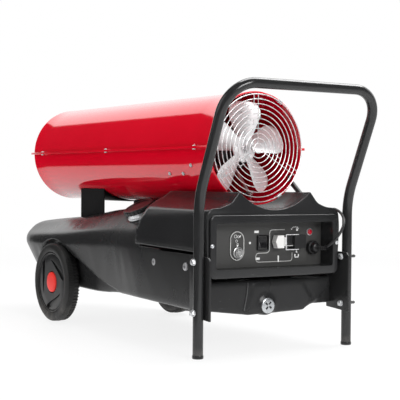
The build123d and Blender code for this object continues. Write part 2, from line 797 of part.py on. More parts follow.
with BuildPart() as photocell:
    with BuildSketch(across(head_y - 30)):
        with Locations((-38, drum_z - 30)):
            RegularPolygon(8, 8)
    extrude(amount=-30)
save(photocell, "photocell")

with BuildPart() as combustion_chamber:
    with BuildSketch(across(chamber_y0)):
        with Locations((0, drum_z)):
            Circle(chamber_r)
            Circle(cup_r, mode=Mode.SUBTRACT)
    extrude(amount=-chamber_t)
    with BuildSketch(across(chamber_y0 + chamber_t)):
        with Locations((0, drum_z)):
            Circle(chamber_r)
            Circle(chamber_r - chamber_t, mode=Mode.SUBTRACT)
    extrude(amount=-(chamber_y1 - chamber_y0 - chamber_t))
save(combustion_chamber, "combustion_chamber")

# stays between the chamber and the drum
with BuildPart() as chamber_supports:
    for ahead in stay_ahead:
        for angle in (45, 135, 225, 315):
            place = Plane(Location((0, leg_y + ahead, drum_z)) * Rotation(0, -angle, 0)
                          * Rotation(0, 90, 0))
            with BuildSketch(place.offset(chamber_r + 0.6)):
                Rectangle(2, 30)
            extrude(amount=drum_r - drum_wall - seat_gap - chamber_r - 0.6)
save(chamber_supports, "chamber_supports")

with BuildPart() as flame_baffle:
    rod_y(baffle_r, leg_y + baffle_ahead, leg_y + baffle_ahead + chamber_t, 0, drum_z)
    with BuildSketch(across(leg_y + baffle_ahead)):
        with Locations((0, drum_z)):
            Rectangle(2 * (chamber_r - chamber_t - 1), 14)
            Rectangle(14, 2 * (chamber_r - chamber_t - 1))
    extrude(amount=-chamber_t)
save(flame_baffle, "flame_baffle")

# ---------------------------------------------------------------- drum supports
seat_r = drum_r + seat_gap
with BuildPart() as drum_bracket:
    bracket_y0 = leg_y + bracket_ahead[0]
    bracket_len = bracket_ahead[1] - bracket_ahead[0]
    with BuildSketch(across(bracket_y0)):
        with BuildLine():
            Polyline((-bracket_half, seat_z), (bracket_half, seat_z),
                     (bracket_half, drum_z), (-bracket_half, drum_z), close=True)
        make_face()
        with BuildLine():
            Polyline((bracket_t - bracket_half, seat_z + bracket_t),
                     (bracket_half - bracket_t, seat_z + bracket_t),
                     (bracket_half - bracket_t, drum_z), (bracket_t - bracket_half, drum_z), close=True)
        make_face(mode=Mode.SUBTRACT)
        with Locations((0, drum_z)):
            Circle(seat_r + bracket_t)
            Circle(seat_r, mode=Mode.SUBTRACT)
        with Locations((0, seat_z + 150)):
            Rectangle(2 * bracket_half, 300, mode=Mode.INTERSECT)
        with Locations((0, drum_z)):
            Circle(seat_r, mode=Mode.SUBTRACT)
        with Locations((0, drum_z + 150 - 104)):
            Rectangle(400, 300, mode=Mode.SUBTRACT)
    extrude(amount=-bracket_len)
save(drum_bracket, "drum_bracket")

deck_front = deck_z + deck_rise
with BuildPart() as rear_support:
    rear_y0 = leg_y + rear_ahead[0]
    with BuildSketch(across(rear_y0)):
        with Locations((0, (deck_front + drum_z) / 2)):
            Rectangle(2 * rear_half, drum_z - deck_front)
        with Locations((0, (deck_front + drum_z) / 2 + rear_t)):
            Rectangle(2 * (rear_half - rear_t), drum_z - deck_front, mode=Mode.SUBTRACT)
        with Locations((0, drum_z)):
            Circle(seat_r + rear_t)
            Circle(seat_r, mode=Mode.SUBTRACT)
        with Locations((0, deck_front + 150)):
            Rectangle(2 * rear_half, 300, mode=Mode.INTERSECT)
        with Locations((0, drum_z)):
            Circle(seat_r, mode=Mode.SUBTRACT)
        with Locations((0, drum_z + 150 - 110)):
            Rectangle(400, 300, mode=Mode.SUBTRACT)
    extrude(amount=rear_ahead[0] - rear_ahead[1])
save(rear_support, "rear_support")

# ---------------------------------------------------------------- hood over the electrical bay
# Right half of its outline at the panel and at its front end, from the lower edge to the peak
hood_rear = ((204, hood_low[0]), (203, 300), (199, 332), (188, 346), (158, 349), (131, 359))
hood_front = ((215, hood_low[1]), (211, 283), (199, 318), (180, 344), (151, 363), (128, 373))


def hood_form(inset, below):
    """The hood as a filled body, or with an inset its inside, down to some way below its edge."""
    with BuildPart() as form:
        for y, half in ((rim_y, hood_rear), (hood_y, hood_front)):
            x0, z0 = half[0]
            with BuildSketch(across(y)):
                with BuildLine():
                    right = [(x0, z0 - below), *half[1:], (saddle_half, peak_z)]
                    Polyline(*right, *((-x, z) for x, z in reversed(right)), close=True)
                make_face()
                if inset:
                    offset(amount=-inset, kind=Kind.INTERSECTION)
        loft(ruled=True)
        rod_y(saddle_r + inset, rim_y - 10, hood_y + 10, 0, drum_z, Mode.SUBTRACT)
    return form


with BuildPart() as panel_cover:
    add(hood_form(0, 0).part)
    add(hood_form(hood_t, 80).part, mode=Mode.SUBTRACT)
    # feet on the tank's deck
    for side in SIDES:
        with BuildSketch(Plane.XY.offset(deck_z + deck_rise)):
            with BuildLine():
                Polyline((side * 203, leg_y + 208), (side * 209, leg_y + 208), (side * 212.5, hood_y - 8),
                         (side * 205, hood_y - 8), close=True)
            make_face()
        extrude(amount=22)
    # way for the drum's rear support and for the conduit
    block(-rear_half - slot_gap, rear_half + slot_gap, leg_y + rear_ahead[0] - slot_gap,
          leg_y + rear_ahead[1] + slot_gap, 280, 400, Mode.SUBTRACT)
    with Locations((conduit_low[0], leg_y + conduit_low[1], conduit_low[2])):
        Cylinder(conduit_r + 1.5, 40, mode=Mode.SUBTRACT)
save(panel_cover, "panel_cover")

# moulded front of the panel, with its recess
with BuildPart() as panel_bezel:
    with BuildSketch(across(panel_y)) as panel_face:
        with BuildLine():
            edge = [(0, panel_low), (panel_half - 6, panel_low), (panel_half, 301), (199, 334), (190, 347),
                    (158, 349), (131, 359), (saddle_half, peak_z)]
            Polyline(*edge)
            ThreePointArc((saddle_half, peak_z), (0, drum_z - saddle_r), (-saddle_half, peak_z))
            Polyline(*((-x, z) for x, z in reversed(edge)))
        make_face()
    extrude(amount=-panel_t)
    with BuildSketch(across(panel_y)):
        add(panel_face.sketch_local)
        offset(panel_face.sketch_local, amount=-panel_t, kind=Kind.INTERSECTION, mode=Mode.SUBTRACT)
    extrude(amount=-(rim_y - panel_y))
    frame_mid = (panel_low + frame_top) / 2
    with BuildSketch(across(panel_y)):
        with Locations((0, frame_mid)):
            RectangleRounded(2 * frame_half, frame_top - panel_low, frame_corner_r)
    extrude(amount=frame_out)
    recess_mid = (recess_low + recess_top) / 2
    with BuildSketch(across(panel_y - frame_out)):
        with Locations((0, recess_mid)):
            RectangleRounded(2 * (recess_half + panel_t), recess_top - recess_low + 2 * panel_t, 9)
    extrude(amount=-(plate_y - panel_y + frame_out))
    with BuildSketch(across(panel_y - frame_out)):
        with Locations((0, recess_mid)):
            RectangleRounded(2 * recess_half, recess_top - recess_low, 6)
    extrude(amount=-(plate_y - panel_y + frame_out), mode=Mode.SUBTRACT)
    for side in SIDES:
        rod_y(screw_d / 2 + slip, panel_y - 20, panel_y + 20, side * screw_x, screw_z, Mode.SUBTRACT)
        # room for the ends of the upper leg bolts
        rod_x(bolt_d / 2 + 1, side * (cheek_x - 22), side * cheek_x, leg_y, bolt_zs[1], Mode.SUBTRACT)
save(panel_bezel, "panel_bezel")

with BuildPart() as bezel_screws:
    for side in SIDES:
        head_y0 = panel_y - frame_out
        rod_y(5, head_y0 - 2.5, head_y0, side * screw_x, screw_z)
        rod_y(screw_d / 2, head_y0, panel_y + panel_t + 8, side * screw_x, screw_z)
save(bezel_screws, "bezel_screws")

# ---------------------------------------------------------------- control plate and what it carries
def window(at, width, height, y0, y1, mode):
    """Rectangular piece or opening of the plate, between two depths."""
    block(at[0] - width / 2, at[0] + width / 2, y0, y1, at[1] - height / 2, at[1] + height / 2, mode)


plate_back = plate_y + plate_t
with BuildPart() as control_plate:
    with BuildSketch(across(plate_y)):
        with Locations((0, recess_mid)):
            Rectangle(2 * (recess_half + plate_lap), recess_top - recess_low + 2 * plate_lap)
    extrude(amount=-plate_t)
    window(rocker_at, rocker_body[0] + 1, rocker_body[1] + 1, plate_y, plate_back, Mode.SUBTRACT)
    window(socket_at, 44, 28, plate_y, plate_back, Mode.SUBTRACT)
    for at, radius in ((reset_at, 9.5), (lamp_at, lamp_r - 1.5), (gland_at, gland_r - 8)):
        rod_y(radius, plate_y - 1, plate_back + 1, at[0], at[1], Mode.SUBTRACT)
save(control_plate, "control_plate")

with BuildPart() as rocker_frame:
    window(rocker_at, rocker_size[0], rocker_size[1], plate_y - rocker_out, plate_y, Mode.ADD)
    window(rocker_at, rocker_body[0], rocker_body[1], plate_y, plate_y + rocker_deep, Mode.ADD)
    window(rocker_at, rocker_body[0] - 4, rocker_body[1] - 4, plate_y - rocker_out,
           plate_y + rocker_deep - 2, Mode.SUBTRACT)
save(rocker_frame, "rocker_frame")

# rocker: a wedge that tips about a pin in its frame, drawn in its OFF position
hinge_y = plate_y + 2
with BuildPart() as rocker:
    rocker_left = rocker_at[0] - rocker_body[0] / 2 + 2.4
    side_face = Location((rocker_left, hinge_y, rocker_at[1]), (-rocker_tip, 0, 0))
    with BuildSketch(Plane(side_face * Plane.YZ.location)):
        with BuildLine():
            half = rocker_body[1] / 2 - 3.2
            Polyline((-5.5, half), (-3.5, 0), (-5.5, -half), (1, -half), (9, -4), (9, 4), (1, half),
                     close=True)
        make_face()
    extrude(amount=rocker_body[0] - 4.8)
save(rocker, "rocker")

with BuildPart() as reset_bush:
    with BuildSketch(across(plate_y)):
        with Locations((reset_at[0] - 2, reset_at[1] + 17)):
            SlotOverall(72, 43, rotation=90)
        with Locations(reset_at):
            Circle(9.5, mode=Mode.SUBTRACT)
    extrude(amount=2)
    with BuildSketch(across(plate_y)):
        with Locations(reset_at):
            RegularPolygon(9.2, 16)
            Circle(button_r + 0.3, mode=Mode.SUBTRACT)
    extrude(amount=-14)
    with BuildSketch(across(plate_y)):
        with Locations(reset_at):
            RegularPolygon(11.5, 16)
            Circle(button_r + 0.3, mode=Mode.SUBTRACT)
    extrude(amount=4)
save(reset_bush, "reset_bush")

with BuildPart() as reset_button:
    rod_y(button_r, plate_y - 8, plate_y + 10, reset_at[0], reset_at[1])
save(reset_button, "reset_button")

with BuildPart() as pilot_lamp:
    for radius, out, back in ((lamp_r - 2, 6, 20), (lamp_r, 2.5, 0)):
        with BuildSketch(across(plate_y - out)):
            with Locations(lamp_at):
                RegularPolygon(radius, 16)
        extrude(amount=-(out + back))
save(pilot_lamp, "pilot_lamp")

cord_exit_y = leg_y + cord_from[1]
with BuildPart() as cable_gland:
    with BuildSketch(across(plate_y)):
        with Locations(gland_at):
            RegularPolygon(gland_r, 10)
    extrude(amount=12)
    with BuildSketch(across(plate_y - 12)):
        with Locations(gland_at):
            RegularPolygon(gland_r - 3, 12)
    extrude(amount=plate_y - 12 - cord_exit_y, taper=22)
    with BuildSketch(across(plate_y)):
        with Locations(gland_at):
            RegularPolygon(gland_r - 8.5, 12)
    extrude(amount=-14)
save(cable_gland, "cable_gland")

# thermostat connection: dark socket with a hood, white plug, and the wire bail that locks it
sx, sz = socket_at
with BuildPart() as thermostat_socket:
    window((sx + 8, sz - 1), 36, 34, plate_y - 24, plate_y, Mode.ADD)
    window((sx, sz), 42, 24, plate_y, plate_y + 20, Mode.ADD)
save(thermostat_socket, "thermostat_socket")

with BuildPart() as thermostat_plug:
    with BuildSketch(across(plate_y - 3)):
        with BuildLine():
            Polyline((plug_at[0] - 14, sz), (plug_at[0] - 8, sz - 16), (plug_at[0] + 12, sz - 16),
                     (plug_at[0] + 12, sz + 16), (plug_at[0] - 8, sz + 16), close=True)
        make_face()
    extrude(amount=18)
    block(plug_at[0] + 12, sx - 10.3, plate_y - 18, plate_y - 6, sz - 11, sz + 11)
save(thermostat_plug, "thermostat_plug")

with BuildPart() as socket_bail:
    bail_y = plate_y - 23
    with BuildSketch(across(bail_y)):
        with Locations(((plug_at[0] + 14 + sx + 2) / 2, sz - 1)):
            Rectangle(sx + 2 - plug_at[0] - 14, 39)
        with Locations(((plug_at[0] + 16 + sx + 3) / 2, sz - 1)):
            Rectangle(sx + 3 - plug_at[0] - 16, 35, mode=Mode.SUBTRACT)
    extrude(amount=2)
save(socket_bail, "socket_bail")

# ---------------------------------------------------------------- boxes in the bay, fuel lines
with BuildPart() as control_box:
    block(20, 120, leg_y + 88, leg_y + 150, ledge_z, ledge_z + 62)
    chamfer(control_box.edges().filter_by(Axis.Z), 4)
save(control_box, "control_box")

with BuildPart() as ignition_transformer:
    block(-130, -40, leg_y + 92, leg_y + 168, ledge_z, ledge_z + 58)
    chamfer(ignition_transformer.edges().filter_by(Axis.Y), 8)
save(ignition_transformer, "ignition_transformer")

# suction and return lines from the tank's crown, and the pressure line to the nozzle
line_y = motor_y1 + pump_len / 2
with BuildPart() as fuel_lines:
    for side in SIDES:
        with BuildSketch(Plane((side * 16, line_y, crown_z), z_dir=(0, 0, 1))):
            RegularPolygon(line_r, 8)
        extrude(amount=drum_z - pump_half - crown_z)
        with BuildSketch(Plane((side * 16, line_y, crown_z), z_dir=(0, 0, 1))):
            RegularPolygon(line_r + 5, 6)
        extrude(amount=5)
    with BuildSketch(across(motor_y1 + pump_len)):
        with Locations((0, drum_z)):
            RegularPolygon(line_r, 8)
    extrude(amount=-(head_y - 34 - motor_y1 - pump_len))
save(fuel_lines, "fuel_lines")

# conduit of the wires between the hood and the drum
with BuildPart() as conduit:
    with BuildLine() as conduit_path:
        low = Vector(conduit_low[0], leg_y + conduit_low[1], conduit_low[2])
        high = Vector(conduit_at[0], leg_y + conduit_at[1], conduit_at[2])
        Polyline(low - (0, 0, 14), low, high, high + (0, 0, 14))
    with BuildSketch(Plane(conduit_path.line @ 0, z_dir=(0, 0, 1))):
        RegularPolygon(conduit_r, 12)
    sweep(path=conduit_path.line, transition=Transition.RIGHT)
save(conduit, "conduit")

# ---------------------------------------------------------------- mains cord
# Control points of the free stretch: X, place ahead of the legs, Z
cord_route = (
    (145, 18, 247), (145, -8, 247), (150, -33, 262), (168, -42, 287), (187, -33, 310), (200, -13, 327),
    (204.5, 8, 339), (206, 31, 345), (213, 57, 339), (223, 84, 317), (232, 114, 283), (239, 152, 240),
    (244, 202, 198), (246, 298, 137), (248, 378, 104), (250, 464, 76), (252, 552, 53), (254, 640, 33),
    (254, 715, 16), (253.05, 790, 4.5), (253.05, 843, 4.5),
)


def loose_cord(points):
    """Route of a free cord: every corner has the widest arc that its two runs leave room for."""
    places = [Vector(x, leg_y + ahead, z) for x, ahead, z in points]
    radii = []
    for before, corner, after in zip(places, places[1:], places[2:]):
        turn = (corner - before).get_angle(after - corner)
        run = min((corner - before).length, (after - corner).length)
        radii.append(0.45 * run / tan(radians(turn / 2)))
    print("cord radii", [round(radius) for radius in radii])
    return FilletPolyline(*places, radius=radii)


with BuildPart() as power_cord:
    with BuildLine() as cord_path:
        loose_cord(cord_route)
    with BuildSketch(Plane(cord_path.line @ 0, z_dir=cord_path.line % 0)):
        RegularPolygon(cord_d / 2, 8)
    sweep(path=cord_path.line)
cord_len = sum(edge.length for edge in cord_path.edges())
print("cord length", cord_len, "volume", power_cord.part.volume,
      "section by length", 2 * sqrt(2) * (cord_d / 2) ** 2 * cord_len)
save(power_cord, "power_cord")

# Put-away length: one unbroken tube that spirals in on the floor, climbs, and spirals out on top.
# Every half turn is an arc about one of two centres, a quarter of a step to either side.
coil_step = (cord_d + cord_clear) / 2
coil_x, coil_ahead = coil_at
coil_y = leg_y + coil_ahead
floor_z = cord_d / 2 + tie_t + 0.2
halves = round(coil_turns * 2)


def coil_point(k):
    """End of half turn k of the coil, on alternate sides of it along X."""
    inward = min(k, halves - k)
    side = -1 if k % 2 == 0 else 1
    radius = coil_mid_r + (halves / 4 - inward) * coil_step - (coil_dip if inward == halves // 2 else 0)
    z = floor_z if k <= halves // 2 else floor_z + cord_d + cord_clear
    return Vector(coil_x + side * radius, coil_y, z)


with BuildPart() as power_cord_coil:
    with BuildLine() as coil_path:
        Line(coil_point(0) - (0, cord_d, 0), coil_point(0))
        for k in range(halves):
            near, far = coil_point(k), coil_point(k + 1)
            ahead_of = 1 if k % 2 == 0 else -1
            rise = (far.Z - near.Z) / 2
            middle = (near + far) / 2
            half_span = abs(far.X - near.X) / 2
            top = middle + Vector(0, ahead_of * sqrt(half_span**2 + rise**2), 0)
            if rise:
                TangentArc(near, top, tangent=(0, ahead_of, 0))
                TangentArc(far, top, tangent=(0, ahead_of, 0))
            else:
                ThreePointArc(near, top, far)
        Line(coil_point(halves), coil_point(halves) - (0, cord_d, 0))
    coil_wire = coil_path.wires()[0]
    with BuildLine() as coil_runs:
        stepped(coil_wire, 15)
    with BuildSketch(Plane(coil_point(0) - (0, cord_d, 0), x_dir=(1, 0, 0), z_dir=(0, 1, 0))):
        RegularPolygon(cord_d / 2, 6)
    sweep(path=coil_runs.line, transition=Transition.RIGHT)
coil_len = sum(edge.length for edge in coil_path.edges())
print("coil length", coil_len, "volume", power_cord_coil.part.volume,
      "section by length", 1.5 * sqrt(3) * (cord_d / 2) ** 2 * coil_len)
save(power_cord_coil, "power_cord_coil")

# least gap of the coil to itself, between points more than a quarter turn apart along it
steps = 400
samples = [coil_wire @ (i / steps) for i in range(steps + 1)]
apart = round(steps / coil_turns / 4)
least = min((samples[i] - samples[j]).length for i in range(steps + 1)
            for j in range(i + apart, steps + 1))
print("least gap of the coil to itself", round(least - cord_d, 2))

with BuildPart() as cord_tie:
    bundle_in = coil_mid_r - (halves / 4 + 0.25) * coil_step - cord_d / 2 + 1
    bundle_out = coil_mid_r + (halves / 4) * coil_step + cord_d / 2 + 0.5
    bundle_top = floor_z + 1.5 * cord_d + cord_clear + 0.3
    with BuildSketch(Plane.YZ.offset(coil_x - tie_w / 2)):
        with Locations((coil_y + (bundle_in + bundle_out) / 2, (bundle_top + tie_t) / 2)):
            Rectangle(bundle_out - bundle_in + 2 * tie_t, bundle_top + tie_t)
        with Locations((coil_y + (bundle_in + bundle_out) / 2, (bundle_top + tie_t) / 2)):
            Rectangle(bundle_out - bundle_in, bundle_top - tie_t, mode=Mode.SUBTRACT)
    extrude(amount=tie_w)
save(cord_tie, "cord_tie")

# angled mains plug, which lies on its back with the pins up
with BuildPart() as mains_plug:
    cord_end = coil_point(halves) - (0, cord_d, 0)
    plug_y = cord_end.Y - sleeve_len - plug_r + 3
    with BuildSketch(Plane((cord_end.X, plug_y, 0), z_dir=(0, 0, 1))):
        RegularPolygon(plug_r, 20)
    extrude(amount=plug_h)
    chamfer(mains_plug.edges().group_by(Axis.Z)[-1], 3)
    with BuildSketch(across(cord_end.Y)):
        with Locations((cord_end.X, cord_end.Z)):
            RegularPolygon(4.8, 8)
    extrude(amount=sleeve_len, taper=-5)
    for x in (-9.5, 9.5):
        with Locations((cord_end.X + x, plug_y, plug_h)):
            Cylinder(2.4, 19, align=(Align.CENTER, Align.CENTER, Align.MIN))
save(mains_plug, "mains_plug")
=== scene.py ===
import math
from math import cos, pi, radians, sin

import bmesh
import bpy
from mathutils import Matrix, Vector


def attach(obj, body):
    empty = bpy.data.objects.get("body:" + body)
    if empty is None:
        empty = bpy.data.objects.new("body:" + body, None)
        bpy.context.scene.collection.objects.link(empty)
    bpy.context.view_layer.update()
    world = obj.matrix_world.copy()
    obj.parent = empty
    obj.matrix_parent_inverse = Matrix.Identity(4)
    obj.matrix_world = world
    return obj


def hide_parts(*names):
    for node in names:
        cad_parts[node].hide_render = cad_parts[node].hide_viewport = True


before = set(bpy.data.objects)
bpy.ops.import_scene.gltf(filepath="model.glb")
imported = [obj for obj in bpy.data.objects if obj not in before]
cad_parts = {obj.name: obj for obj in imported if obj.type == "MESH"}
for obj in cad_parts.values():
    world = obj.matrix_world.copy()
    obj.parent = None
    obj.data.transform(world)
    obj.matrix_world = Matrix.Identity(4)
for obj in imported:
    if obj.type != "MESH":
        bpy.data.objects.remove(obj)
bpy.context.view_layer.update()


# ---------------------------------------------------------------- camera
# The photographer stood behind the heater and to its left, at the height of the hood,
# with a long lens.
legs_to_origin = 495.0


def at(x, ahead, z):
    """Place in metres from millimetres right of the middle, ahead of the legs, above the floor."""
    return Vector((x, ahead - legs_to_origin, z)) / 1000


photo_width, focal_pixels = 400, 1100.51
camera_data = bpy.data.cameras.new("camera")
camera_data.sensor_width = 36.0
camera_data.lens = camera_data.sensor_width * focal_pixels / photo_width
camera_data.clip_end = 60.0
camera = bpy.data.objects.new("camera", camera_data)
bpy.context.scene.collection.objects.link(camera)
aim, rise, roll = radians(-33.0835), radians(0.9612), radians(0.4468)
back = Vector((sin(aim) * cos(rise), -cos(aim) * cos(rise), sin(rise)))
right = (-back).cross(Vector((0, 0, 1))).normalized()
up = back.cross(right)
turned_right = right * cos(roll) + up * sin(roll)
turned_up = up * cos(roll) - right * sin(roll)
camera.matrix_world = Matrix.Translation((-1.61033, -2.62732, 0.41084)) @ Matrix(
    (turned_right, turned_up, back)).transposed().to_4x4()
bpy.context.scene.camera = camera


# ---------------------------------------------------------------- mains cord and its plug
# Seven millimetre rubber-sheathed cord. It leaves the gland, loops over the edge of the recess,
# sags behind the tank and is wound up on the floor beside the right wheel, with a moulded plug.
def new_finish(name, colour, roughness, metallic=0.0, **sockets):
    """A material with a Principled shader, whose plain values are set on its own sockets."""
    finish = bpy.data.materials.new(name)
    finish.use_nodes = True
    finish.diffuse_color = (*colour, 1)
    shader = finish.node_tree.nodes["Principled BSDF"]
    shader.inputs["Base Color"].default_value = (*colour, 1)
    shader.inputs["Roughness"].default_value = roughness
    shader.inputs["Metallic"].default_value = metallic
    for socket, value in sockets.items():
        shader.inputs[socket.replace("_", " ")].default_value = value
    return finish


def node(tree, kind, inputs=None, **settings):
    """A shader node, with its settings, and its inputs as values or as sockets to link."""
    made = tree.nodes.new("ShaderNode" + kind)
    for name, value in settings.items():
        setattr(made, name, value)
    for name, value in (inputs or {}).items():
        if isinstance(value, bpy.types.NodeSocket):
            tree.links.new(value, made.inputs[name])
        else:
            made.inputs[name].default_value = value
    return made


def own_place(tree):
    """Object coordinates."""
    return node(tree, "TexCoord").outputs["Object"]


def noise(tree, place, scale, detail, roughness=0.5):
    """Cloudy values at a place."""
    return node(tree, "TexNoise", {"Vector": place, "Scale": scale, "Detail": detail,
                                   "Roughness": roughness}).outputs["Fac"]


def maths(tree, operation, first, second):
    """Result of an operation on two values."""
    return node(tree, "Math", {0: first, 1: second}, operation=operation).outputs[0]


def ranged(tree, value, source=(0.0, 1.0), target=(0.0, 1.0), smooth=False):
    """A value carried from one range to another, with soft ends if asked."""
    return node(tree, "MapRange", {"Value": value, "From Min": source[0], "From Max": source[1],
                                   "To Min": target[0], "To Max": target[1]},
                interpolation_type="SMOOTHSTEP" if smooth else "LINEAR").outputs["Result"]


def blend(tree, share, first, second):
    """Colour between two, each given as a colour or as a socket."""
    first, second = (c if isinstance(c, bpy.types.NodeSocket) else (*c, 1) for c in (first, second))
    return node(tree, "Mix", {0: share, 6: first, 7: second}, data_type="RGBA").outputs[2]


def dents(tree, height, strength, depth):
    """Normals of a surface bumped by heights."""
    return node(tree, "Bump", {"Height": height, "Strength": strength, "Distance": depth}).outputs["Normal"]


def feed(finish, **sources):
    """Links patterns to the sockets of a finish's own shader."""
    tree = finish.node_tree
    for socket, source in sources.items():
        tree.links.new(source, tree.nodes["Principled BSDF"].inputs[socket.replace("_", " ")])


def new_group(name, numbers, outputs):
    """A shader node group with number inputs and number outputs."""
    tree = bpy.data.node_groups.new(name, "ShaderNodeTree")
    for socket, value in numbers.items():
        made = tree.interface.new_socket(socket, in_out="INPUT", socket_type="NodeSocketFloat")
        made.default_value = value
    for socket in outputs:
        tree.interface.new_socket(socket, in_out="OUTPUT", socket_type="NodeSocketFloat")
    return tree, tree.nodes.new("NodeGroupInput").outputs, tree.nodes.new("NodeGroupOutput").inputs


# Grain of moulded plastic and rubber: fine pebbles, and slow clouds of tone
grain_group, given, wanted = new_group("moulded_grain", {"Pebbles": 900.0, "Clouds": 7.0},
                                       ("Height", "Tone"))
place = own_place(grain_group)
pebbles = node(grain_group, "TexVoronoi", {"Vector": place, "Scale": given["Pebbles"]},
               feature="SMOOTH_F1").outputs["Distance"]
pebbled = maths(grain_group, "ADD", pebbles, noise(grain_group, place, given["Pebbles"], 3.0))
toned = ranged(grain_group, noise(grain_group, place, given["Clouds"], 6.0, 0.62), (0.3, 0.7))
grain_group.links.new(pebbled, wanted["Height"])
grain_group.links.new(toned, wanted["Tone"])

# Dust that settles low down and in streaks, and thin scratches from use
wear_group, given, wanted = new_group("wear_and_dust", {"Low": 0.0, "High": 0.25, "Scratches": 60.0},
                                      ("Dust", "Scratch"))
place = own_place(wear_group)
height = node(wear_group, "SeparateXYZ", {"Vector": place}).outputs["Z"]
fade = ranged(wear_group, height, (given["High"], given["Low"]), smooth=True)
patchy = ranged(wear_group, noise(wear_group, place, 34.0, 8.0, 0.7), (0.42, 0.75))
drawn = node(wear_group, "Mapping", {"Vector": place, "Rotation": (0.3, 0.5, 0.2),
                                     "Scale": (1.0, 14.0, 5.0)}).outputs["Vector"]
thin = ranged(wear_group, noise(wear_group, drawn, given["Scratches"], 2.0), (0.715, 0.76))
wear_group.links.new(maths(wear_group, "MULTIPLY", fade, patchy), wanted["Dust"])
wear_group.links.new(thin, wanted["Scratch"])
dust_colour = (0.16, 0.15, 0.14)


def textured(name, colour, roughness, metallic, tones, shine, bump, grain, dusty=None, **sockets):
    """A finish of two tones with a range of roughness, a bump of a strength and a depth, grain of a
    pebble and a cloud scale and, if asked, dust and scratches up to a height."""
    finish = new_finish(name, colour, roughness, metallic, **sockets)
    tree = finish.node_tree
    dark, light = tones
    grained = node(tree, "Group", {"Pebbles": grain[0], "Clouds": grain[1]}, node_tree=grain_group).outputs
    shade = blend(tree, grained["Tone"], dark, light)
    rough = ranged(tree, grained["Tone"], target=shine)
    if dusty is not None:
        worn = node(tree, "Group", {"High": dusty}, node_tree=wear_group).outputs
        scratched = [min(1, 1.5 * c + 0.01) for c in light]
        shade = blend(tree, worn["Scratch"], blend(tree, worn["Dust"], shade, dust_colour), scratched)
        rough = node(tree, "Math", {0: worn["Dust"], 1: 0.3, 2: rough}, operation="MULTIPLY_ADD",
                     use_clamp=True).outputs[0]
    feed(finish, Base_Color=shade, Roughness=rough, Normal=dents(tree, grained["Height"], *bump))
    return finish


cord_sheath = textured("cord_sheath", (0.012, 0.012, 0.013), 0.42, 0.0,
                       ((0.010, 0.010, 0.011), (0.020, 0.020, 0.021)), shine=(0.36, 0.5),
                       bump=(0.25, 0.0002), grain=(1400.0, 40.0))

cord_d = 7.0
cord_route = (
    (145, 18, 247), (145, -8, 247), (150, -33, 262), (168, -42, 287), (187, -33, 310), (200, -13, 327),
    (204.5, 8, 339), (206, 31, 345), (213, 57, 339), (223, 84, 317), (232, 114, 283), (239, 152, 240),
    (244, 202, 198), (246, 298, 137), (248, 378, 104), (250, 464, 76), (252, 552, 53), (254, 640, 33),
    (254, 715, 16), (253.05, 790, 4.5), (253.05, 843, 4.5),
)
coil_x, coil_ahead = 300.0, 850.0
coil_mid_r = 38.4
coil_step = (cord_d + 0.6) / 2
half_turns, points_a_half = 9, 8
crossing, crossing_tuck = half_turns // 2, 1.6
low_turns, high_turns = 4.5, 12.1


def coil_side(k):
    """Place along X where half turn k of the coil starts, on alternate sides of its middle."""
    inward = min(k, half_turns - k)
    reach = coil_mid_r + (half_turns / 4 - inward) * coil_step
    if inward == crossing:
        reach -= crossing_tuck
    return coil_x + (reach if k % 2 else -reach)


cord_points = [at(*point) for point in cord_route]
for k in range(half_turns):
    near, far = coil_side(k), coil_side(k + 1)
    middle, half_span = (near + far) / 2, abs(far - near) / 2
    for i in range(points_a_half):
        turn = pi * i / points_a_half
        lift = low_turns if k < crossing else high_turns
        if k == crossing:
            lift = low_turns + (high_turns - low_turns) * i / points_a_half
        cord_points.append(at(middle + (near - middle) * cos(turn),
                              coil_ahead + (1 if k % 2 == 0 else -1) * half_span * sin(turn), lift))
cord_points += [at(coil_side(half_turns), coil_ahead, high_turns),
                at(coil_side(half_turns), coil_ahead - cord_d, high_turns)]
cord_curve = bpy.data.curves.new("power_cord_sheath", "CURVE")
cord_curve.dimensions = "3D"
cord_curve.bevel_depth = cord_d / 2000
cord_curve.bevel_resolution = 4
cord_curve.resolution_u = 6
cord_curve.use_fill_caps = True
strand = cord_curve.splines.new("NURBS")
strand.points.add(len(cord_points) - 1)
for point, spot in zip(strand.points, cord_points):
    point.co = (*spot, 1)
strand.order_u = 3
strand.use_endpoint_u = True
strand.use_smooth = True
cord = bpy.data.objects.new("power_cord_sheath", cord_curve)
bpy.context.scene.collection.objects.link(cord)
cord_curve.materials.append(cord_sheath)
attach(cord, "heater")
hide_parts("power_cord", "power_cord_coil")


def new_object(name, bm):
    """An object from a bmesh, which it uses up."""
    mesh = bpy.data.meshes.new(name)
    bm.to_mesh(mesh)
    bm.free()
    made = bpy.data.objects.new(name, mesh)
    bpy.context.scene.collection.objects.link(made)
    return made


def closed(bm):
    """Merges what is doubled and turns all faces outwards."""
    bmesh.ops.remove_doubles(bm, verts=bm.verts, dist=0.005)
    bmesh.ops.recalc_face_normals(bm, faces=bm.faces)


def finished(name, bm, finish, stands_for=(), body="heater", sharp=32.0, outward=True):
    """A piece from a bmesh in millimetres ahead of the legs: closed, smooth but for its edges."""
    if outward:
        closed(bm)
    bm.transform(Matrix.Scale(0.001, 4) @ Matrix.Translation((0, -legs_to_origin, 0)))
    for face in bm.faces:
        face.smooth = True
    for edge in bm.edges:
        if len(edge.link_faces) == 2 and edge.calc_face_angle(0.0) > radians(sharp):
            edge.smooth = False
    piece = new_object(name, bm)
    piece.data.materials.append(finish)
    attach(piece, body)
    if stands_for:
        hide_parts(*stands_for)
    return piece


rightward, forward, upward = Vector((1, 0, 0)), Vector((0, 1, 0)), Vector((0, 0, 1))
pole_r = 0.01  # a profile that ends on its axis stops this far off it, and is merged there


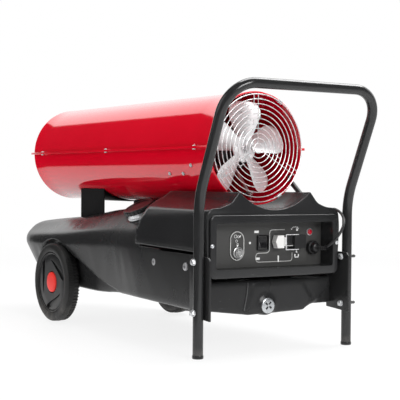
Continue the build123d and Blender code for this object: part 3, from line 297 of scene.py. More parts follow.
def lathe(bm, profile, centre, axis, steps=48, start=None, angle=2 * pi):
    """Turns a profile of (radius, place along the axis) corners about an axis through a centre."""
    axis = Vector(axis).normalized()
    side = Vector(start) if start else axis.orthogonal().normalized()
    centre = Vector(centre)
    line = [bm.verts.new(centre + side * max(r, pole_r) + axis * along) for r, along in profile]
    edges = [bm.edges.new(pair) for pair in zip(line, line[1:])]
    bmesh.ops.spin(bm, geom=line + edges, cent=centre, axis=axis, angle=angle, steps=steps,
                   use_merge=angle == 2 * pi, use_duplicate=False)


def soften(bm, geom, offset, segments=2, affect="EDGES", clamped=False):
    """Rounds edges or corners off."""
    bmesh.ops.bevel(bm, geom=geom, offset=offset, segments=segments, profile=0.5, affect=affect,
                    material=-1, clamp_overlap=clamped)


def new_verts(made):
    """The vertices among what an operator has just made."""
    return [element for element in made if isinstance(element, bmesh.types.BMVert)]


def thicken(bm, faces, shift):
    """Extrudes faces by a shift, and gives the vertices at the far side."""
    far = new_verts(bmesh.ops.extrude_face_region(bm, geom=faces)["geom"])
    bmesh.ops.translate(bm, vec=shift, verts=far)
    return far


def prism(bm, outline, axis, low, high, rounded=0.0, segments=2):
    """Extrudes an outline, given as corners across an axis, from a low to a high place along it."""
    if axis == "X":
        corners = [(low, a, z) for a, z in outline]
    else:
        corners = [(x, low, z) for x, z in outline]
    face = bm.faces.new([bm.verts.new(corner) for corner in corners])
    far = thicken(bm, [face], (high - low) * (rightward if axis == "X" else forward))
    if rounded:
        ends = list(face.verts) + far
        edges = {edge for v in ends for edge in v.link_edges if edge.other_vert(v) in ends}
        soften(bm, list(edges), rounded, segments, clamped=True)


def new_bm(shape, *sizes, **more):
    """A bmesh with one shape in it."""
    bm = bmesh.new()
    shape(bm, *sizes, **more)
    return bm


def rect(x0, x1, z0, z1):
    """Corners of a rectangle between two places across and two up."""
    (x0, x1), (z0, z1) = sorted((x0, x1)), sorted((z0, z1))
    return (x0, z0), (x1, z0), (x1, z1), (x0, z1)


# plug: a squat drum of rubber on the floor, its pins up, and a ribbed sleeve on the cord
plug_r, sleeve_long, sleeve_sunk = 19.5, 28.0, 3
plug_x, plug_ahead = coil_side(half_turns), coil_ahead - cord_d - sleeve_long - plug_r + sleeve_sunk
plug_bm = new_bm(lathe, [(0, 0), (17.5, 0), (plug_r, 2), (plug_r, 19), (18.6, 20.4), (16.6, 21), (16.6, 24),
                         (0, 24)], (plug_x, plug_ahead, 0), upward, 40)
sleeve_profile = [(0, -sleeve_sunk), (5.4, 0)]
for rib in range(5):
    sleeve_profile += [(5.4 - 0.3 * rib, rib * 5.4 + 0.6), (4.4 - 0.2 * rib, rib * 5.4 + 1.4),
                       (4.4 - 0.2 * rib, rib * 5.4 + 3.8), (5.1 - 0.3 * rib, rib * 5.4 + 4.6)]
sleeve_profile += [(3.7, sleeve_long - 0.6), (3.55, sleeve_long), (0, sleeve_long)]
lathe(plug_bm, sleeve_profile, (plug_x, plug_ahead + plug_r - sleeve_sunk, high_turns), forward, 24)
plug = finished("mains_plug_body", plug_bm, cord_sheath, ("mains_plug",))

pin_plate = textured("plated_pin", (0.55, 0.53, 0.47), 0.3, 1.0, ((0.47, 0.45, 0.41), (0.62, 0.60, 0.55)),
                     shine=(0.22, 0.36), bump=(0.1, 0.0001), grain=(2000.0, 60.0))
pins_bm = bmesh.new()
for shift in (-9.5, 9.5):
    lathe(pins_bm, [(0, 24.2), (2.4, 24.2), (2.4, 41.6), (1.7, 43), (0, 43)],
          (plug_x + shift, plug_ahead, 0), upward, 16)
pins = finished("mains_plug_pins", pins_bm, pin_plate)


# ---------------------------------------------------------------- bent tube frame
# One length of 25 mm steel tube, bent back at the top of the legs and across into the grip bar,
# powder coated, with a plastic cup pushed on each foot.
frame_paint = textured("frame_paint", (0.020, 0.0203, 0.021), 0.14, 0.0,
                       ((0.017, 0.0172, 0.0178), (0.023, 0.0232, 0.0238)), shine=(0.11, 0.19),
                       bump=(0.06, 0.0002), grain=(700.0, 9.0), dusty=0.03)
leg_x, foot_z, bend_z, bar_z, bar_back = 224.0, 4.0, 370.0, 635.0, 116.0
bend_r, corner_r, tube_r = 200.0, 77.0, 12.5
lean = math.atan2(bar_back, bar_z - bend_z)
bend_cut = bend_r * math.tan(lean / 2)
leaning = Vector((0, -sin(lean), cos(lean)))
leg = upward * (bend_z - bend_cut - foot_z)
upright = leaning * (math.hypot(bar_back, bar_z - bend_z) - bend_cut - corner_r)
grip = rightward * 2 * (leg_x - corner_r)


def straight(bm, loop, along):
    """Pulls the open end of a tube straight on."""
    made = bmesh.ops.extrude_edge_only(bm, edges=loop)["geom"]
    bmesh.ops.translate(bm, vec=along, verts=new_verts(made))
    return [element for element in made if isinstance(element, bmesh.types.BMEdge)
            and len(element.link_faces) == 1]


def bent(bm, loop, centre, axis, angle, steps):
    """Pulls the open end of a tube round a bend."""
    rim = list({v for edge in loop for v in edge.verts})
    made = bmesh.ops.spin(bm, geom=rim + loop, cent=centre, axis=axis, angle=angle, steps=steps,
                          use_duplicate=False)["geom_last"]
    return [element for element in made if isinstance(element, bmesh.types.BMEdge)]


tube_bm = bmesh.new()
ring = bmesh.ops.create_circle(tube_bm, segments=28, radius=tube_r,
                               matrix=Matrix.Translation((-leg_x, 0, foot_z)))["verts"]
tube_bm.faces.new(ring)
loop = list({edge for v in ring for edge in v.link_edges})
bend_at = (0, -bend_r, bend_z - bend_cut)
corner = Vector((-leg_x, -bar_back, bar_z)) - leaning * corner_r + rightward * corner_r
corner_axis = leaning.cross(rightward)
loop = straight(tube_bm, loop, leg)
loop = bent(tube_bm, loop, bend_at, rightward, lean, 8)
loop = straight(tube_bm, loop, upright)
loop = bent(tube_bm, loop, corner, corner_axis, pi / 2, 14)
loop = straight(tube_bm, loop, grip)
loop = bent(tube_bm, loop, corner + grip, corner_axis, pi / 2, 14)
loop = straight(tube_bm, loop, -upright)
loop = bent(tube_bm, loop, bend_at, rightward, -lean, 8)
loop = straight(tube_bm, loop, -leg)
bmesh.ops.holes_fill(tube_bm, edges=loop)
finished("handle_tube", tube_bm, frame_paint, ("handle_frame",))

black_plastic = textured("black_plastic", (0.010, 0.010, 0.011), 0.32, 0.0,
                         ((0.008, 0.008, 0.0085), (0.015, 0.015, 0.016)), shine=(0.26, 0.4),
                         bump=(0.15, 0.0002), grain=(900.0, 20.0))
cups_bm = bmesh.new()
for side in (-1, 1):
    lathe(cups_bm, [(0, 0), (11.6, 0), (12.9, 0.8), (13.4, 2.4), (13.4, 7.2), (13.1, 8), (12.6, 8),
                    (12.6, 4.1), (0, 4.1)], (side * leg_x, 0, 0), upward, 36)
finished("foot_cups", cups_bm, black_plastic, ("foot_caps",))


# ---------------------------------------------------------------- fuel tank
# Rotation-moulded polyethylene in one hollow piece: rounded shoulders, a blunt nose over the
# wheels, arches cut in for the wheels, a bay for the electrical parts and flanges for the legs.
tank_plastic = textured("tank_plastic", (0.021, 0.021, 0.0215), 0.28, 0.0,
                        ((0.0185, 0.0185, 0.019), (0.0235, 0.0235, 0.024)), shine=(0.22, 0.34),
                        bump=(0.05, 0.0002), grain=(260.0, 3.0), dusty=0.04, Specular_IOR_Level=0.3)
# place ahead of the legs, then half width and height of the flat top, the waist and the bottom corner
tank_stations = (
    (45, 150, 350, 211.3, 262, 210.6, 104), (310, 146, 347, 212, 264, 207, 110),
    (450, 137, 340, 205, 264, 192, 110), (600, 128, 329, 205, 258, 182, 101),
    (750, 120, 311, 212, 249, 180, 104), (840, 118, 303, 214, 245, 179, 104),
    (960, 122, 294, 213, 239, 166, 116), (1020, 130, 288.5, 204, 236, 150, 130),
    (1062, 136, 283.5, 188, 234, 130, 148), (1092, 128, 277, 162, 232, 104, 168),
    (1110, 102, 268, 128, 231, 74, 190), (1117.5, 66, 256, 86, 230, 46, 206),
)


def between(stations, ahead):
    """Sizes of a section between two stations, on a smooth curve through all of them."""
    i = max(k for k in range(len(stations) - 1) if stations[k][0] <= ahead or k == 0)
    a, b = stations[i], stations[i + 1]
    before = stations[max(i - 1, 0)]
    after = stations[min(i + 2, len(stations) - 1)]
    t = (ahead - a[0]) / (b[0] - a[0])
    found = []
    for w, x, y, z in zip(before, a, b, after):
        rise_a = (y - w) / (b[0] - before[0]) * (b[0] - a[0]) if i else y - x
        rise_b = (z - x) / (after[0] - a[0]) * (b[0] - a[0])
        found.append((2 * t**3 - 3 * t**2 + 1) * x + (t**3 - 2 * t**2 + t) * rise_a
                     + (3 * t**2 - 2 * t**3) * y + (t**3 - t**2) * rise_b)
    return found


def mirrored(half):
    """The other half of an outline across the heater."""
    return [(-x, z) for x, z in reversed(half)]


same_plane = 1e-4  # vertices no farther off than this are in a plane


def rounded_face(bm, corners, ahead, cuts, segments):
    """A flat face across the heater with rounded corners; each cut is what a corner loses."""
    face = bm.faces.new([bm.verts.new((x, ahead, z)) for x, z in corners])
    for v, cut in zip(list(face.verts), cuts):
        if cut:
            soften(bm, [v], cut, segments, "VERTICES")
    return next(f for f in bm.faces if all(abs(v.co.y - ahead) < same_plane for v in f.verts))


def evaluated(blank):
    """A bmesh of an object with its modifiers, in place of the object."""
    bm = bmesh.new()
    bm.from_mesh(bpy.data.meshes.new_from_object(
        blank.evaluated_get(bpy.context.evaluated_depsgraph_get())))
    bpy.data.objects.remove(blank)
    return bm


def worked(blank, joins=(), cuts=()):
    """A bmesh after others are joined to it and then others are cut from it."""
    for bm in (blank, *joins, *cuts):
        closed(bm)
    blank = new_object("blank", blank)
    tools = [new_object("tool", bm) for bm in (*joins, *cuts)]
    for i, tool in enumerate(tools):
        modifier = blank.modifiers.new("work", "BOOLEAN")
        modifier.operation = "UNION" if i < len(joins) else "DIFFERENCE"
        modifier.object, modifier.solver = tool, "EXACT"
    bm = evaluated(blank)
    for tool in tools:
        bpy.data.objects.remove(tool)
    return bm


# what the corners lose, less where the top is narrow, and at most a share of the side above
shoulder_cut, bottom_cut, full_top, cut_limit = 26, 11, 100, 0.46
body_bm = bmesh.new()
sections = []
for ahead in [45, 130, 220, 310, 360, 410, 450, 500, 550, 600, 650, 700, 750, 800, 840, 880, 920, 960, 990,
              1015, 1035, 1052, 1067, 1080, 1092, 1101, 1109, 1114, 1117.5]:
    _, top_x, top_z, side_x, side_z, low_x, low_z = between(tank_stations, ahead)
    half = ((top_x, top_z), (side_x, side_z), (low_x, low_z))
    blunted = min(1.0, top_x / full_top)
    shoulder = min(shoulder_cut * blunted, cut_limit * math.dist(half[0], half[1]))
    corner_cuts = (shoulder, shoulder, bottom_cut * blunted)
    sections.append(rounded_face(body_bm, [*half, *mirrored(half)], ahead,
                                 (*corner_cuts, *reversed(corner_cuts)), 7))
for near, far in zip(sections, sections[1:]):
    bmesh.ops.bridge_loops(body_bm, edges=list(near.edges) + list(far.edges))
bmesh.ops.delete(body_bm, geom=sections[1:-1], context="FACES_ONLY")

# the sump, the end wall over it and the drain's boss are joined on
drain_at = Vector((0, 0, 108.5))
sump = ((-58, 86), (118, 90), (144, 118), (112, 165), (-40, 165), (-66, 98))
end_wall = ((-204, 106), (-150, 99), (-60, 87.5), (118, 91.5), (150, 106), (205, 146), (205, 172),
            (-204, 172))
boss = [(0, 30), (21, 30), (24, 34), (27, 60), (0, 60)]
joins = [new_bm(prism, sump, "Y", 36, 240, rounded=5, segments=3),
         new_bm(prism, end_wall, "Y", 38.5, 130, rounded=5, segments=3),
         new_bm(lathe, boss, drain_at, forward, 40)]

# cut away: an arch behind each wheel, the bay under the hood, the deck under the drum, the seat of
# the drum's saddle, the axle's groove and the filler's pocket
axle_ahead, wheel_r, groove_half = 794.0, 114.0, 11
arch_in, bay_half, bay_z, bay_deep = 172, 206.5, 173, 200
seat_half, seat_z, seat_ends = 97, 297, (709, 858)
past_side, beyond = 300, 500  # clear of the tank's sides and top
filler_at = Vector((-146.0, 404.0, 330.0))
filler_tilt = radians(27)
filler_up = Vector((-sin(filler_tilt), 0, cos(filler_tilt)))
arch = ((926, 20), (926, 112), (921, 147), (906, 184), (882, 215), (853, 232), (820, 239), (778, 233),
        (743, 218), (699, 196), (638, 169), (591, 151), (551, 139), (495, 126), (440, 114), (400, 98),
        (400, 20))
deck = ((-60, 236), (311, 247), (311, beyond), (-60, beyond))
cuts = [new_bm(prism, arch, "X", side * arch_in, side * past_side) for side in (-1, 1)]
cuts += [
    new_bm(prism, rect(-bay_half, bay_half, bay_z, beyond), "Y", -60, bay_deep),
    new_bm(prism, deck, "X", -past_side, past_side),
    new_bm(prism, rect(-seat_half, seat_half, seat_z, beyond), "Y", *seat_ends),
    new_bm(prism, rect(-past_side, past_side, 0, wheel_r + groove_half), "Y", axle_ahead - groove_half,
           axle_ahead + groove_half),
    new_bm(lathe, [(0, -12), (46, -12), (49, -10.5), (56, 120), (0, 120)], filler_at, filler_up),
]
tank_bm = worked(body_bm, joins, cuts)
closed(tank_bm)
blank = new_object("moulding", tank_bm)
remesh = blank.modifiers.new("moulding", "REMESH")
remesh.mode, remesh.voxel_size, remesh.use_smooth_shade = "VOXEL", 4.2, True
smoothing = blank.modifiers.new("soft_edges", "SMOOTH")
smoothing.factor, smoothing.iterations = 0.5, 7
finished("tank_body", evaluated(blank), tank_plastic, ("fuel_tank",), sharp=70)

# flanges that the legs are bolted to
flange_bm = bmesh.new()
for side in (-1, 1):
    prism(flange_bm, ((-27, 87), (58, 93.5), (58, 238), (-18, 236), (-27, 227)), "X",
          side * (bay_half - 1), side * (bay_half + 5), rounded=1.6, segments=3)
finished("tank_flanges", flange_bm, tank_plastic)

# the mould's parting line, a thin ridge down the end wall beside the drain; its pale grey is a painted
# highlight where the ridge catches the light
ridge = ((-57.4, 166), (-60.2, 140), (-68.8, 99), (-68.0, 98), (-66.4, 98.6), (-58.2, 140), (-55.6, 166))
parting_line_painted_highlight = textured("parting_line_painted_highlight", (0.09, 0.09, 0.092), 0.45, 0.0,
                       ((0.08, 0.08, 0.082), (0.11, 0.11, 0.112)), shine=(0.4, 0.5),
                       bump=(0.05, 0.0002), grain=(600.0, 20.0))
ridge_bm = new_bm(prism, ridge, "Y", 35.4, 42, rounded=0.4, segments=1)
finished("tank_parting_line", ridge_bm, parting_line_painted_highlight)

# drain plug: a bright plated head with four short slots in a cross
drain_bm = new_bm(lathe, [(0, 28.2), (15.4, 28.2), (17.8, 28.6), (19.2, 29.6), (19.6, 31.0), (19.4, 33.6),
                          (12, 34), (12, 48), (0, 48)], drain_at, forward)
slots, slot_turn = [], 38
for quarter in range(4):
    slots.append(new_bm(prism, rect(3.2, 11.4, -2.4, 2.4), "Y", 20, 30.6))
    turn = Matrix.Rotation(radians(90 * quarter + slot_turn), 4, "Y")
    slots[-1].transform(Matrix.Translation(drain_at) @ turn)
plug_zinc = textured("drain_plug_zinc", (0.6, 0.62, 0.64), 0.3, 0.9,
                     ((0.5, 0.52, 0.54), (0.72, 0.74, 0.76)), shine=(0.2, 0.36),
                     bump=(0.1, 0.0002), grain=(900.0, 60.0))
finished("drain_plug_head", worked(drain_bm, cuts=slots), plug_zinc, ("drain_plug",),
         "drain_plug")


# ---------------------------------------------------------------- filler
# Plated neck clamped on the tank by a rubber ring, with a wire strainer in it, under a black
# moulded cap with finger flutes round its rim.
zinc = textured("zinc_plate", (0.74, 0.75, 0.76), 0.3, 0.7, ((0.66, 0.67, 0.69), (0.82, 0.83, 0.84)),
                shine=(0.22, 0.38), bump=(0.08, 0.0002), grain=(1200.0, 45.0))
cap_at = filler_at + filler_up * 5
neck_bm = new_bm(lathe, [(27.4, -49), (30, -49), (30, -15.6), (37, -15.4), (38.6, -14.4), (39, -12.0),
                         (38.4, -10.4), (37.2, -9.6), (36.4, -3.4), (37.2, -1.6), (37.2, -0.4), (36.4, 0.2),
                         (27.4, 0.2), (27.4, -49)], cap_at, filler_up, 56)
finished("filler_collar", neck_bm, zinc, ("filler_neck",))


def off_axis(v, centre, axis):
    """A vertex's height along an axis through a centre, and its way out from that axis."""
    away = v.co - centre
    along = away.dot(axis)
    return along, away - axis * along


flutes, flute_deep = 24, 1.7
cap_bm = new_bm(lathe, [(0, 1.2), (36.6, 1.2), (37.4, 0.8), (38.6, 0.4), (41.6, 0.6), (42.6, 1.6), (43, 9),
                        (42.4, 11), (40.6, 12.4), (38, 12.9), (34.5, 12.9), (33, 12.2), (31.6, 10.9),
                        (30, 10.6), (12, 10.9), (6, 11.3), (0, 11.4)], cap_at, filler_up, 4 * flutes)
fluted = []
for i in range(flutes):
    out = Matrix.Rotation(2 * pi * i / flutes, 3, filler_up) @ filler_up.orthogonal().normalized()
    for v in cap_bm.verts:
        _, radial = off_axis(v, cap_at, filler_up)
        if radial.length > 41 and radial.angle(out) < radians(3.4):
            fluted.append((v, radial.normalized()))
for v, way_out in fluted:
    v.co -= way_out * flute_deep
finished("filler_cap_fluted", cap_bm, black_plastic, ("filler_cap",), "filler_cap", 40)


# ---------------------------------------------------------------- leg bolts and side screws
# Zinc plated hexagon bolts through each leg and flange, with washers; plated pan heads in the tank.
# On the left the heads are outside the leg, on the right they are inside the bay.
dark_thread = textured("dark_thread", (0.12, 0.12, 0.12), 0.42, 0.8, ((0.08, 0.08, 0.08), (0.2, 0.2, 0.2)),
                       shine=(0.34, 0.5), bump=(0.3, 0.0003), grain=(1500.0, 90.0))


def hexagon(bm, centre, axis, size, height, turn):
    """Hexagon head or nut, its outer corners turned down to a round chamfer."""
    place = axis.to_track_quat("Z", "Y").to_matrix().to_4x4()
    place.translation = Vector(centre)
    ring = bmesh.ops.create_circle(bm, cap_ends=True, segments=6, radius=size / 2 / cos(pi / 6),
                                   matrix=place @ Matrix.Rotation(turn, 4, "Z"))["verts"]
    top = thicken(bm, list(ring[0].link_faces), axis * height)
    edges = {edge for v in top for edge in v.link_edges if edge.other_vert(v) in top}
    soften(bm, list(edges), size * 0.07)


bolt_heights = (106.6, 224.5)
bolt_grip, head_wide, head_high, washer_thick = 30, 13, 5.3, 1.6
bolt_bm, thread_bm = bmesh.new(), bmesh.new()
for face, turn in ((-leg_x - tube_r, 12), (bay_half, 24)):
    for z in bolt_heights:
        lathe(bolt_bm, [(0, -washer_thick), (7.6, -washer_thick), (8, -1.2), (8, 0), (0, 0)], (face, 0, z),
              rightward, 32)
        hexagon(bolt_bm, (face - 1.5, 0, z), -rightward, head_wide, head_high, radians(turn))
        lathe(thread_bm, [(0, -8), (3.9, -8), (3.9, 12.6), (3.1, 14), (0, 14)],
              (face + bolt_grip, 0, z), rightward, 20)
finished("leg_bolt_heads", bolt_bm, zinc, ("leg_bolts",))
finished("leg_bolt_threads", thread_bm, dark_thread)


def pan_head(bm, centre, axis, radius, height, turn=0.0):
    """Domed screw head with a cross recess."""
    axis, centre = Vector(axis).normalized(), Vector(centre)
    side = Matrix.Rotation(turn, 3, axis) @ axis.orthogonal().normalized()
    profile = [(radius * out, height * up_share) for out, up_share in
               ((1, 0.3), (0.93, 0.62), (0.72, 0.9), (0.45, 1), (0.3, 0.97), (0.22, 0.2), (0, 0.1))]
    lathe(bm, [(0, -1), (radius, -1), *profile], centre, axis, 16, side)
    for v in bm.verts:
        along, radial = off_axis(v, centre, axis)
        if 0 <= along < height * 1.01 and 0.15 * radius < radial.length < 0.32 * radius:
            lobe = abs(cos(2 * radial.angle(side)))
            v.co = centre + axis * along + radial * (0.55 + 1.1 * lobe**2)


side_screw_bm = bmesh.new()
for side in (-1, 1):
    for ahead, z, x in ((225.0, 210.0, 208.6), (75.0, 208.0, 211.5)):
        pan_head(side_screw_bm, (side * x, ahead, z), side * rightward, radius=10.0, height=4.0, turn=0.4)
dull_zinc = textured("dull_zinc", (0.42, 0.42, 0.43), 0.42, 0.6, ((0.36, 0.36, 0.37), (0.5, 0.5, 0.51)),
                     shine=(0.36, 0.5), bump=(0.15, 0.0002), grain=(900.0, 60.0))
finished("tank_side_screw_heads", side_screw_bm, dull_zinc, ("tank_side_screws",))


# ---------------------------------------------------------------- wheels on their axle
# Solid rubber tyres with a row of deep lugs, a rib and a row of low pads, on moulded discs with
# three curved pockets, and red caps pressed over the ends of the steel axle.
tyre_rubber = textured("tyre_rubber", (0.010, 0.010, 0.010), 0.5, 0.0,
                       ((0.008, 0.008, 0.008), (0.016, 0.0155, 0.015)), shine=(0.42, 0.62),
                       bump=(0.25, 0.0003), grain=(500.0, 24.0), dusty=0.1)
wheel_plastic = textured("wheel_plastic", (0.014, 0.014, 0.0145), 0.34, 0.0,
                         ((0.011, 0.011, 0.0115), (0.019, 0.019, 0.0195)), shine=(0.28, 0.42),
                         bump=(0.16, 0.0002), grain=(800.0, 14.0), dusty=0.1)
red_plastic = textured("red_cap_plastic", (0.88, 0.02, 0.012), 0.36, 0.0,
                       ((0.84, 0.016, 0.010), (0.93, 0.028, 0.016)), shine=(0.32, 0.44),
                       bump=(0.08, 0.0002), grain=(1200.0, 30.0))
wheel_x, rim_r, tread_r, pocket_floor = 203.0, 88.0, 113.85, 10.6
tread_steps = 144
# a tyre's section from its bead over the outer wall, the pads, the rib and the lugs
tyre_profile = [(rim_r - 0.5, -16), (rim_r - 0.5, 16.5), (rim_r + 0.4, 18.6), (rim_r + 2, 19.6),
                (rim_r + 6, 20.8), (rim_r + 12, 21.3), (105.5, 20.7), (109.2, 18.8), (111.6, 16.4),
                (112.3, 13.6), (112.4, 9.6), (112.4, 5.6), (112.3, 1.8), (113.8, 1.0), (113.8, -1.0),
                (110.2, -1.9), (110.2, -14.6), (107, -18.2), (102, -20.6), (rim_r + 6, -21.2),
                (rim_r + 2, -20.4), (rim_r + 0.4, -17.5), (rim_r - 0.5, -16)]
# a disc's section: hub, back, and a rim with a groove round the flat web
disc_profile = [(10.1, -21), (24, -21), (24, -17), (rim_r - 0.7, -17), (rim_r - 0.7, 16.4),
                (rim_r - 1.6, 17.6), (rim_r - 3.6, 18.0), (rim_r - 5.0, 17.2), (rim_r - 5.4, 15.2),
                (rim_r - 7.0, 14.8), (rim_r - 7.6, 16.2), (rim_r - 9, 16.8), (60, 16.2), (32.6, 15.8),
                (31.4, 14.6), (30.6, 12.4), (30.4, 7), (10.1, 7), (10.1, -21)]
# one pocket of the disc: inner edge from its thin start to its broad end, then back outside it
pocket = ((-6, 64.5), (8, 55.5), (22, 45.5), (40, 32), (58, 18), (73, 8.5), (78, 9.5), (78.5, 20), (72, 28.5),
          (58, 37), (40, 46.5), (22, 55.8), (8, 62))


def eased(piece, width, angle, segments=2):
    """Rounds a piece's edges by a width in millimetres where they turn by more than an angle."""
    bevel = piece.modifiers.new("edges", "BEVEL")
    bevel.width, bevel.segments = width / 1000, segments
    bevel.limit_method, bevel.angle_limit = "ANGLE", radians(angle)


for side, hand in ((-1, "left"), (1, "right")):
    axis, wheel = side * rightward, f"wheel_{hand}"
    hub_at = Vector((side * wheel_x, axle_ahead, wheel_r))
    tyre_bm = new_bm(lathe, tyre_profile, hub_at, axis, tread_steps, start=upward)
    closed(tyre_bm)
    lugs, pads = {}, []
    for face in tyre_bm.faces:
        spot = face.calc_center_median() - hub_at
        along, radial = spot.x * side, math.hypot(spot.y, spot.z)
        step = int(round((math.atan2(spot.y, spot.z) / (2 * pi)) * tread_steps - 0.5)) % tread_steps
        if radial > 111 and 1.9 < along < 15.5:
            pads.append(face)
        if radial > 108 and -19.5 < along < -2.2 and step % 2 == 0:
            lugs.setdefault(step // 2, []).append(face)
    for faces in lugs.values():
        bmesh.ops.inset_region(tyre_bm, faces=faces, thickness=0.5, depth=2.6, use_even_offset=True)
    bmesh.ops.inset_individual(tyre_bm, faces=pads, thickness=0.55, depth=0.9, use_even_offset=True)
    for v in tyre_bm.verts:
        spot = v.co - hub_at
        radial = math.hypot(spot.y, spot.z)
        if radial > tread_r:
            v.co.y, v.co.z = hub_at.y + spot.y * tread_r / radial, hub_at.z + spot.z * tread_r / radial
    finished(f"tyre_{hand}_treaded", tyre_bm, tyre_rubber, (f"tyre_{hand}",), wheel)

    pockets = []
    for third in range(3):
        turn = radians(-120 * third)
        corners = [(axle_ahead + side * (u * cos(turn) - v * sin(turn)),
                    wheel_r + u * sin(turn) + v * cos(turn)) for u, v in pocket]
        pockets.append(new_bm(prism, corners, "X", side * (wheel_x + pocket_floor), side * (wheel_x + 26)))
    disc_bm = worked(new_bm(lathe, disc_profile, hub_at, axis, 120, start=upward), cuts=pockets)
    disc = finished(f"wheel_{hand}_disc", disc_bm, wheel_plastic, (wheel,), wheel, 42)
    eased(disc, 1.1, 45)
    hub_bm = new_bm(lathe, [(24.6, 7), (29.2, 7), (29.2, 16.8), (28.6, 17.9), (26.8, 18.7), (20, 19.3),
                            (0, 19.6)], hub_at, axis, 72)
    finished(f"hub_cap_{hand}_domed", hub_bm, red_plastic, (f"hub_cap_{hand}",), wheel, 50)


# ---------------------------------------------------------------- drum
# Two half shells of red enamelled sheet steel with rolled ends, screwed together along flanges on
# both sides, and screws where the motor band and the flame tube are held inside.
drum_paint = new_finish("drum_paint", (0.66, 0.004, 0.02), 0.11, Coat_Weight=0.3, Coat_Roughness=0.02,
                        Coat_IOR=1.55)
tree = drum_paint.node_tree
grained = node(tree, "Group", {"Pebbles": 160.0, "Clouds": 3.0}, node_tree=grain_group).outputs
worn = node(tree, "Group", {"Low": 0.33, "High": 0.72, "Scratches": 30.0}, node_tree=wear_group).outputs
reds = blend(tree, grained["Tone"], (0.64, 0.0006, 0.014), (0.70, 0.0012, 0.018))
powdered = blend(tree, maths(tree, "MULTIPLY", worn["Dust"], 0.012), reds, (0.5, 0.12, 0.12))
feed(drum_paint, Base_Color=powdered, Roughness=ranged(tree, grained["Tone"], target=(0.05, 0.085)),
     Normal=dents(tree, grained["Height"], 0.05, 0.0004))

drum_r, drum_z, inlet, outlet = 141.0, 495.0, 83.0, 1090.0
drum_mid = Vector((0, 0, drum_z))
sheet_thick, flange_r = 1.5, 151.0
drum_inner, drum_long = drum_r - sheet_thick, outlet - inlet
# the rolled end, as radii and distances from the end of the shell
rolled = [(drum_r, 4.6), (drum_r + 0.4, 2.6), (drum_r, 0.8), (139.6, 0), (138.0, 0.4), (137.2, 2), (137.6, 4)]
shell_profile = [(drum_inner, drum_long - 4)] + [(r, drum_long - a) for r, a in reversed(rolled)]
shell_profile += [(drum_r, drum_long * i / 12) for i in range(11, 0, -1)]
shell_profile += rolled + [(drum_inner, 4.4)]
shell_profile += [(drum_inner, drum_long * i / 12) for i in range(1, 12)] + [(drum_inner, drum_long - 4)]
for half_name, turn in (("upper", 1), ("lower", -1)):
    shell_bm = new_bm(lathe, shell_profile, (0, inlet, drum_z), forward, 72, start=rightward,
                      angle=-turn * pi)
    for side in (-1, 1):
        flange = rect(side * (drum_r - 0.8), side * flange_r, drum_z, drum_z + turn * sheet_thick)
        folded_lip = rect(side * (flange_r - 1.1), side * (flange_r + 0.5), drum_z - 3.0, drum_z + 3.2)
        for outline in (flange, folded_lip) if turn > 0 else (flange,):
            prism(shell_bm, outline, "Y", inlet, outlet, rounded=0.5)
    finished(f"drum_{half_name}_shell", shell_bm, drum_paint, (f"drum_{half_name}",), sharp=38)

seam_screw_x, seam_screws = 146.5, (143.0, 601.0, 1016.0)
# the other screws, by place ahead and degrees below the seam
band_screws = ((289, 27), (224, 27), (176, 18))
screw_bm = bmesh.new()
for side in (-1, 1):
    for ahead in seam_screws:
        for up_way in (1, -1):
            pan_head(screw_bm, (side * seam_screw_x, ahead, drum_z + up_way * 1.6), up_way * upward,
                     radius=5.0, height=4.4)
    for ahead, below in band_screws:
        radial = Vector((side * cos(radians(below)), 0, -sin(radians(below))))
        pan_head(screw_bm, radial * (drum_r + 0.1) + drum_mid + forward * ahead, radial, radius=5.4,
                 height=3.4, turn=0.6)
finished("drum_screw_heads", screw_bm, zinc, ("drum_screws",))


# ---------------------------------------------------------------- inlet grille
# Bright wire rings welded to three long radial wires and three short ones beside them, held to
# the drum's edge by small clips.
wire_chrome = textured("wire_chrome", (0.86, 0.86, 0.87), 0.28, 0.55,
                       ((0.80, 0.80, 0.81), (0.92, 0.92, 0.93)), shine=(0.2, 0.34),
                       bump=(0.05, 0.0001), grain=(2000.0, 60.0))


def rod(bm, start, stop, radius, sides=10):
    """Round wire between two places, with softened ends."""
    start, stop = Vector(start), Vector(stop)
    long = (stop - start).length
    lathe(bm, [(0, 0), (radius * 0.7, 0), (radius, radius * 0.3), (radius, long - radius * 0.3),
               (radius * 0.7, long), (0, long)], start, stop - start, sides)


def hoop(bm, centre, axis, radius, wire, steps, sides=10):
    """Ring of round wire about an axis."""
    side = axis.orthogonal().normalized()
    place = Matrix((side, axis, side.cross(axis))).transposed().to_4x4()
    place.translation = Vector(centre) + side * radius
    ring = bmesh.ops.create_circle(bm, segments=sides, radius=wire, matrix=place)["verts"]
    edges = list({edge for v in ring for edge in v.link_edges})
    bmesh.ops.spin(bm, geom=ring + edges, cent=centre, axis=axis, angle=2 * pi, steps=steps, use_merge=True,
                   use_duplicate=False)


grille_ahead, grille_r, ring_pitch, wire_r = 77.0, 135.5, 12.15, 1.1
short_wire_off = 13
hub = drum_mid + forward * (grille_ahead + wire_r)
grille_bm = bmesh.new()
for i in range(11):
    hoop(grille_bm, (0, grille_ahead - 1.5, drum_z), forward, grille_r - 1.5 - i * ring_pitch, wire_r,
         steps=96 if i < 5 else 64)
for angle in (90, 210, 330):
    way = Vector((cos(radians(angle)), 0, sin(radians(angle))))
    beside = hub + short_wire_off * Vector((-sin(radians(angle)), 0, cos(radians(angle))))
    rod(grille_bm, hub + way * 10.5, hub + way * (grille_r - 0.4), wire_r)
    rod(grille_bm, beside + way * (grille_r - 3.4 * ring_pitch), beside + way * (grille_r - 1.2), wire_r)
    rod(grille_bm, beside + way * 56, beside + way * 74, wire_r)
finished("grille_wires", grille_bm, wire_chrome, ("inlet_grille",))


